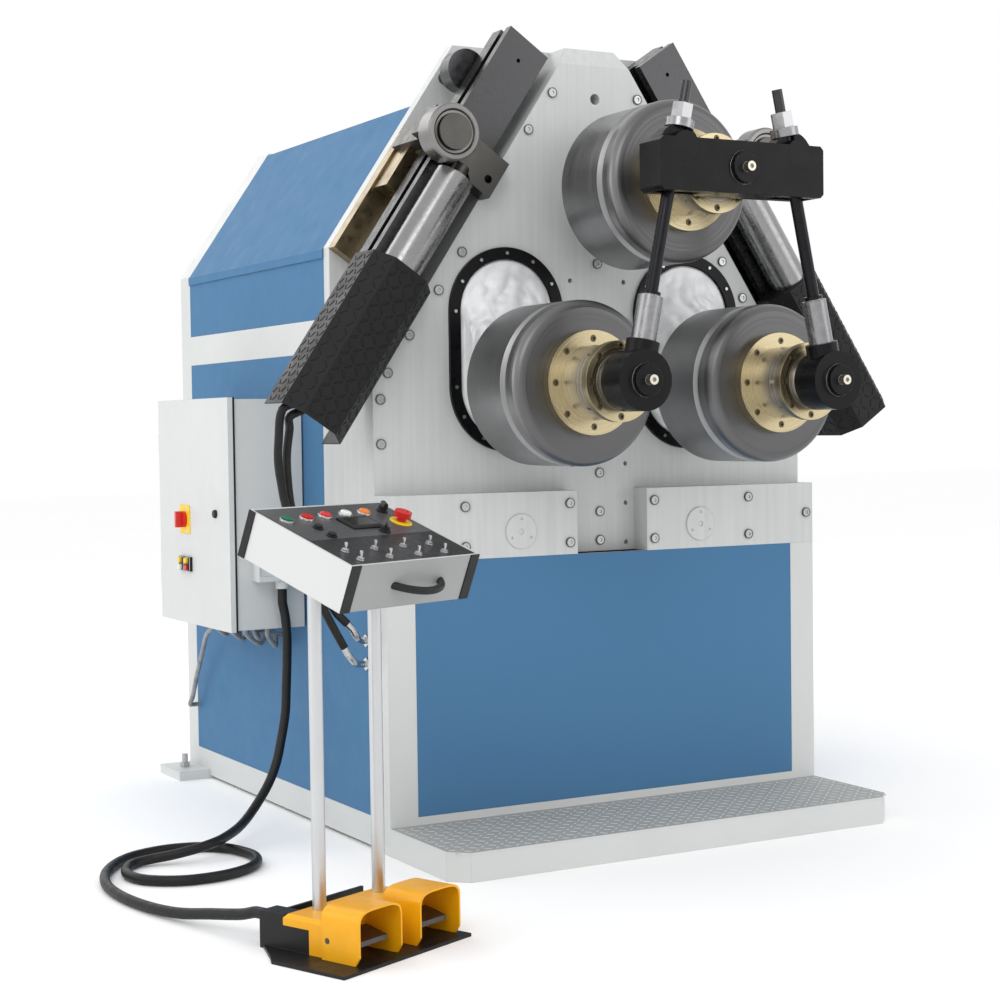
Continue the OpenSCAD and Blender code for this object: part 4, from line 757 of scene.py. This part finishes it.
# A thin darker plate over the front face between the trims: painted shade
FRONT_SHADE_BOX = ((-0.189, -0.1654, -0.1112), (0.189, -0.1650, -0.0008))
BACK_ZONE, BACK_ZONE_CUT = ((-0.208, -0.022, FACE), (0.208, 0.157, FACE + 0.0006)), 0.0003
TOGGLES = [(u, v) for u in (-0.165, -0.068, 0.030, 0.122) for v in (-0.090, -0.138)]
TOGGLE_SEAT = [(0, 0), (0.0100, 0), (0.0100, 0.003), (0.0085, 0.0035), (0.0085, 0.007), (0.005, 0.0085),
               (0, 0.0085)]
TOGGLE_LEVER = [(0, 0), (0.0026, 0), (0.0042, 0.013), (0.0036, 0.016), (0, 0.0170)]
TOGGLE_RISE, TOGGLE_LEAN_DEG, TOGGLE_N = 0.006, -12, 12
LAMPS = {"red_lamp": ((-0.041, 0.098), red_plastic, "red_plastic"),
         "white_lamp": ((0.030, 0.100), white_lens, "fascia_film"),
         "orange_lamp": ((0.097, 0.102), orange_lens, "yellow_plastic")}
BUTTONS = ((-0.176, 0.088), (-0.108, 0.092))
BEZEL = [(0.0146, 0), (0.0175, 0), (0.0175, 0.0045), (0.0165, 0.0062), (0.0146, 0.0062), (0.0146, 0)]
LENS = [(0, 0), (0.0140, 0), (0.0140, 0.008), (0.0125, 0.0105), (0.007, 0.0120), (0, 0.0125)]
LENS_N = 28
ESTOP_AT, ESTOP_N = (0.165, 0.042), 40
ESTOP_RING = [(0.0116, 0), (0.0280, 0), (0.0280, 0.0025), (0.0265, 0.0035), (0.0116, 0.0035), (0.0116, 0)]
PUSHES = ((-0.122, 0.040), (-0.124, -0.007))
PUSH = [(0, 0), (0.0130, 0), (0.0130, 0.003), (0.0100, 0.004), (0.0100, 0.008), (0.0088, 0.0092),
        (0, 0.0092)]
SELECTOR_AT, SELECTOR_TURN = (0.060, -0.002), 0.7
SELECTOR = [(0, 0), (0.0150, 0), (0.0150, 0.003), (0.0115, 0.004), (0.0105, 0.012), (0, 0.012)]
SELECTOR_GRIP, SELECTOR_CUT = ((-0.0115, -0.003, 0.010), (0.0115, 0.003, 0.021)), 0.0015
KEY_AT, KEY_TURN = (0.168, 0.108), -0.5
KEY_LOCK = [(0, 0), (0.0140, 0), (0.0140, 0.004), (0.0115, 0.005), (0.0115, 0.015), (0, 0.015)]
KEY_GRIP, KEY_CUT = ((-0.005, -0.016, 0.013), (0.005, 0.010, 0.026)), 0.002
KNOB_N = 24
DISPLAY_CASE, DISPLAY_CASE_CUT = ((-0.024, 0.018, FACE), (0.079, 0.080, 0.006)), 0.003
DISPLAY_GLASS, DISPLAY_GLASS_CUT = ((-0.015, 0.027, 0.0058), (0.070, 0.071, 0.0066)), 0.0004


def on_face(place, rise=0.0):
    return CONSOLE @ Matrix.Translation((*place, FACE + rise))


def make_console():
    build("console_front", "frame", front_shade, "grey_paint", [(block, *FRONT_SHADE_BOX, CONSOLE)])
    build("fascia_back_zone", "frame", fascia_grey, "fascia_film",
          [(block, *BACK_ZONE, CONSOLE, BACK_ZONE_CUT)])

    lean = Matrix.Rotation(math.radians(TOGGLE_LEAN_DEG), 4, "X")
    shapes = []
    for place in TOGGLES:
        shapes += [(lathe, TOGGLE_SEAT, on_face(place), TOGGLE_N),
                   (lathe, TOGGLE_LEVER, on_face(place, TOGGLE_RISE) @ lean, TOGGLE_N)]
    bezels = [place for place, look, slot in LAMPS.values()] + list(BUTTONS)
    shapes += [(lathe, BEZEL, on_face(place), LENS_N) for place in bezels]
    toggles = build("console_toggles", "frame", bright, "bright_steel", shapes, smooth_deg=35)
    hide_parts("console_controls")

    for name, (place, look, slot) in LAMPS.items():
        build(name, "frame", look, slot, [(lathe, LENS, on_face(place), LENS_N)], smooth_deg=50)
    build("estop_ring", "frame", signal_yellow, "yellow_plastic",
          [(lathe, ESTOP_RING, on_face(ESTOP_AT), ESTOP_N)], smooth_deg=35)

    shapes = [(lathe, PUSH, on_face(place), KNOB_N) for place in PUSHES]
    for profile, place, turn, grip, cut in (
            (SELECTOR, SELECTOR_AT, SELECTOR_TURN, SELECTOR_GRIP, SELECTOR_CUT),
            (KEY_LOCK, KEY_AT, KEY_TURN, KEY_GRIP, KEY_CUT)):
        shapes += [(lathe, profile, on_face(place), KNOB_N),
                   (block, *grip, on_face(place) @ Matrix.Rotation(turn, 4, "Z"), cut)]
    shapes.append((block, *DISPLAY_CASE, CONSOLE, DISPLAY_CASE_CUT))
    build("console_black_parts", "frame", black_plastic, "black_plastic", shapes, smooth_deg=35)
    build("display_glass", "frame", display_dark, "fascia_film",
          [(block, *DISPLAY_GLASS, CONSOLE, DISPLAY_GLASS_CUT)])


make_console()

# Cabinet door: switch plate, button units, lock and gasket, by their (y, z) on the door's outer face
DOOR_X = -0.982
DOOR = Matrix(((0, 0, -1, DOOR_X), (-1, 0, 0, 0), (0, 1, 0, 0), (0, 0, 0, 1)))
PLATE_HALF, PLATE_T, PLATE_EDGE = 0.0444, 0.0034, 0.001
UNIT_HALF, UNIT_T, UNIT_EDGE = 0.0224, 0.0104, 0.002
DOOR_SUNK = -0.0002
UNIT_Y, UNIT_Z = (0.894, 0.838), 0.776
LOW_CAP_Z, HIGH_CAP_Z = 0.765, 0.787
CAP = [(0, 0), (0.0095, 0), (0.0095, 0.0170), (0.0085, 0.0184), (0, 0.0184)]
LOCK_AT = (0.602, 0.940)
LOCK = [(0, 0), (0.0125, 0), (0.0125, 0.004), (0.0112, 0.0086), (0, 0.0086)]
GASKET_X, GASKET_END_Y = (-0.9665, -0.9606), 1.08
GASKET_OUT, GASKET_T = 0.0008, 0.0007


def door_at(y, z):
    return DOOR @ Matrix.Translation((-y, z, 0))


def door_tile(y, z, half, thick, edge):
    """A square tile on the door."""
    return block, (-half, -half, DOOR_SUNK), (half, half, thick), door_at(y, z), edge


def gasket_strips():
    lo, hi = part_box("cabinet_door")
    x0, x1 = GASKET_X
    y0, z0, z1 = lo.y - GASKET_OUT, lo.z - GASKET_OUT, hi.z + GASKET_OUT
    for ya, yb, za, zb in ((y0, y0 + GASKET_T, z0, z1), (y0, GASKET_END_Y, z0, z0 + GASKET_T),
                           (y0, GASKET_END_Y, z1 - GASKET_T, z1)):
        yield block, (x0, ya, za), (x1, yb, zb), Matrix.Identity(4)


def make_door():
    switch = middle("main_switch")
    build("switch_plate", "door", signal_yellow, "yellow_plastic",
          [door_tile(switch.y, switch.z, PLATE_HALF, PLATE_T, PLATE_EDGE)])
    build("door_black_parts", "door", black_plastic, "black_plastic",
          [door_tile(y, UNIT_Z, UNIT_HALF, UNIT_T, UNIT_EDGE) for y in UNIT_Y]
          + [(lathe, LOCK, door_at(*LOCK_AT), KNOB_N)], smooth_deg=35)
    rear_y, front_y = UNIT_Y
    for name, caps, look, slot in (
            ("door_red_cap", [(front_y, LOW_CAP_Z)], red_plastic, "red_plastic"),
            ("door_white_cap", [(rear_y, LOW_CAP_Z)], white_lens, "fascia_film"),
            ("door_yellow_caps", [(y, HIGH_CAP_Z) for y in UNIT_Y], signal_yellow, "yellow_plastic")):
        build(name, "door", look, slot, [(lathe, CAP, door_at(y, z), KNOB_N) for y, z in caps],
              smooth_deg=35)
    build("door_gasket", "door", rubber_black, "black_rubber", gasket_strips())


make_door()

# Floor and light
FLOOR_HALF = 30
FLOOR_TONES = [(0.3, (0.98, 0.98, 0.98)), (0.7, (0.99, 0.99, 0.99))]
WORLD_STRENGTH = 1.0
# Name, place, aim, size in metres and power in watts
LIGHTS = (("key", (-4.5, -5.0, 5.5), (0, 0, 1.2), 3.5, 110),
          ("fill", (5.0, -5.5, 3.5), (0, 0, 1.2), 4.0, 60),
          ("back", (-2.0, 6.0, 5.0), (0, 0, 1.5), 4.0, 60),
          ("side", (-7.0, 1.0, 3.0), (0, 0.5, 0.9), 4.0, 70))


def make_floor():
    mesh = bpy.data.meshes.new("floor")
    h = FLOOR_HALF
    mesh.from_pydata([(-h, -h, 0), (h, -h, 0), (h, h, 0), (-h, h, 0)], [], [(0, 1, 2, 3)])
    floor = bpy.data.objects.new("floor", mesh)
    scene.collection.objects.link(floor)
    m = Mat("floor_pale")
    m.set(Base_Color=m.ramp(m.noise(scale=0.8, detail=3), FLOOR_TONES), Roughness=0.9,
          Specular_IOR_Level=0.1)
    mesh.materials.append(m.m)


def make_light():
    world = bpy.data.worlds.new("studio")
    world.use_nodes = True
    background = world.node_tree.nodes["Background"]
    background.inputs["Color"].default_value = (1, 1, 1, 1)
    background.inputs["Strength"].default_value = WORLD_STRENGTH
    scene.world = world
    for name, place, aim, size, power in LIGHTS:
        data = bpy.data.lights.new(name, "AREA")
        data.energy = power
        data.size = size
        light = bpy.data.objects.new(name, data)
        scene.collection.objects.link(light)
        light.location = place
        light.rotation_euler = (Vector(aim) - Vector(place)).to_track_quat("-Z", "Y").to_euler()
    scene.view_settings.view_transform = "Standard"


make_floor()
make_light()
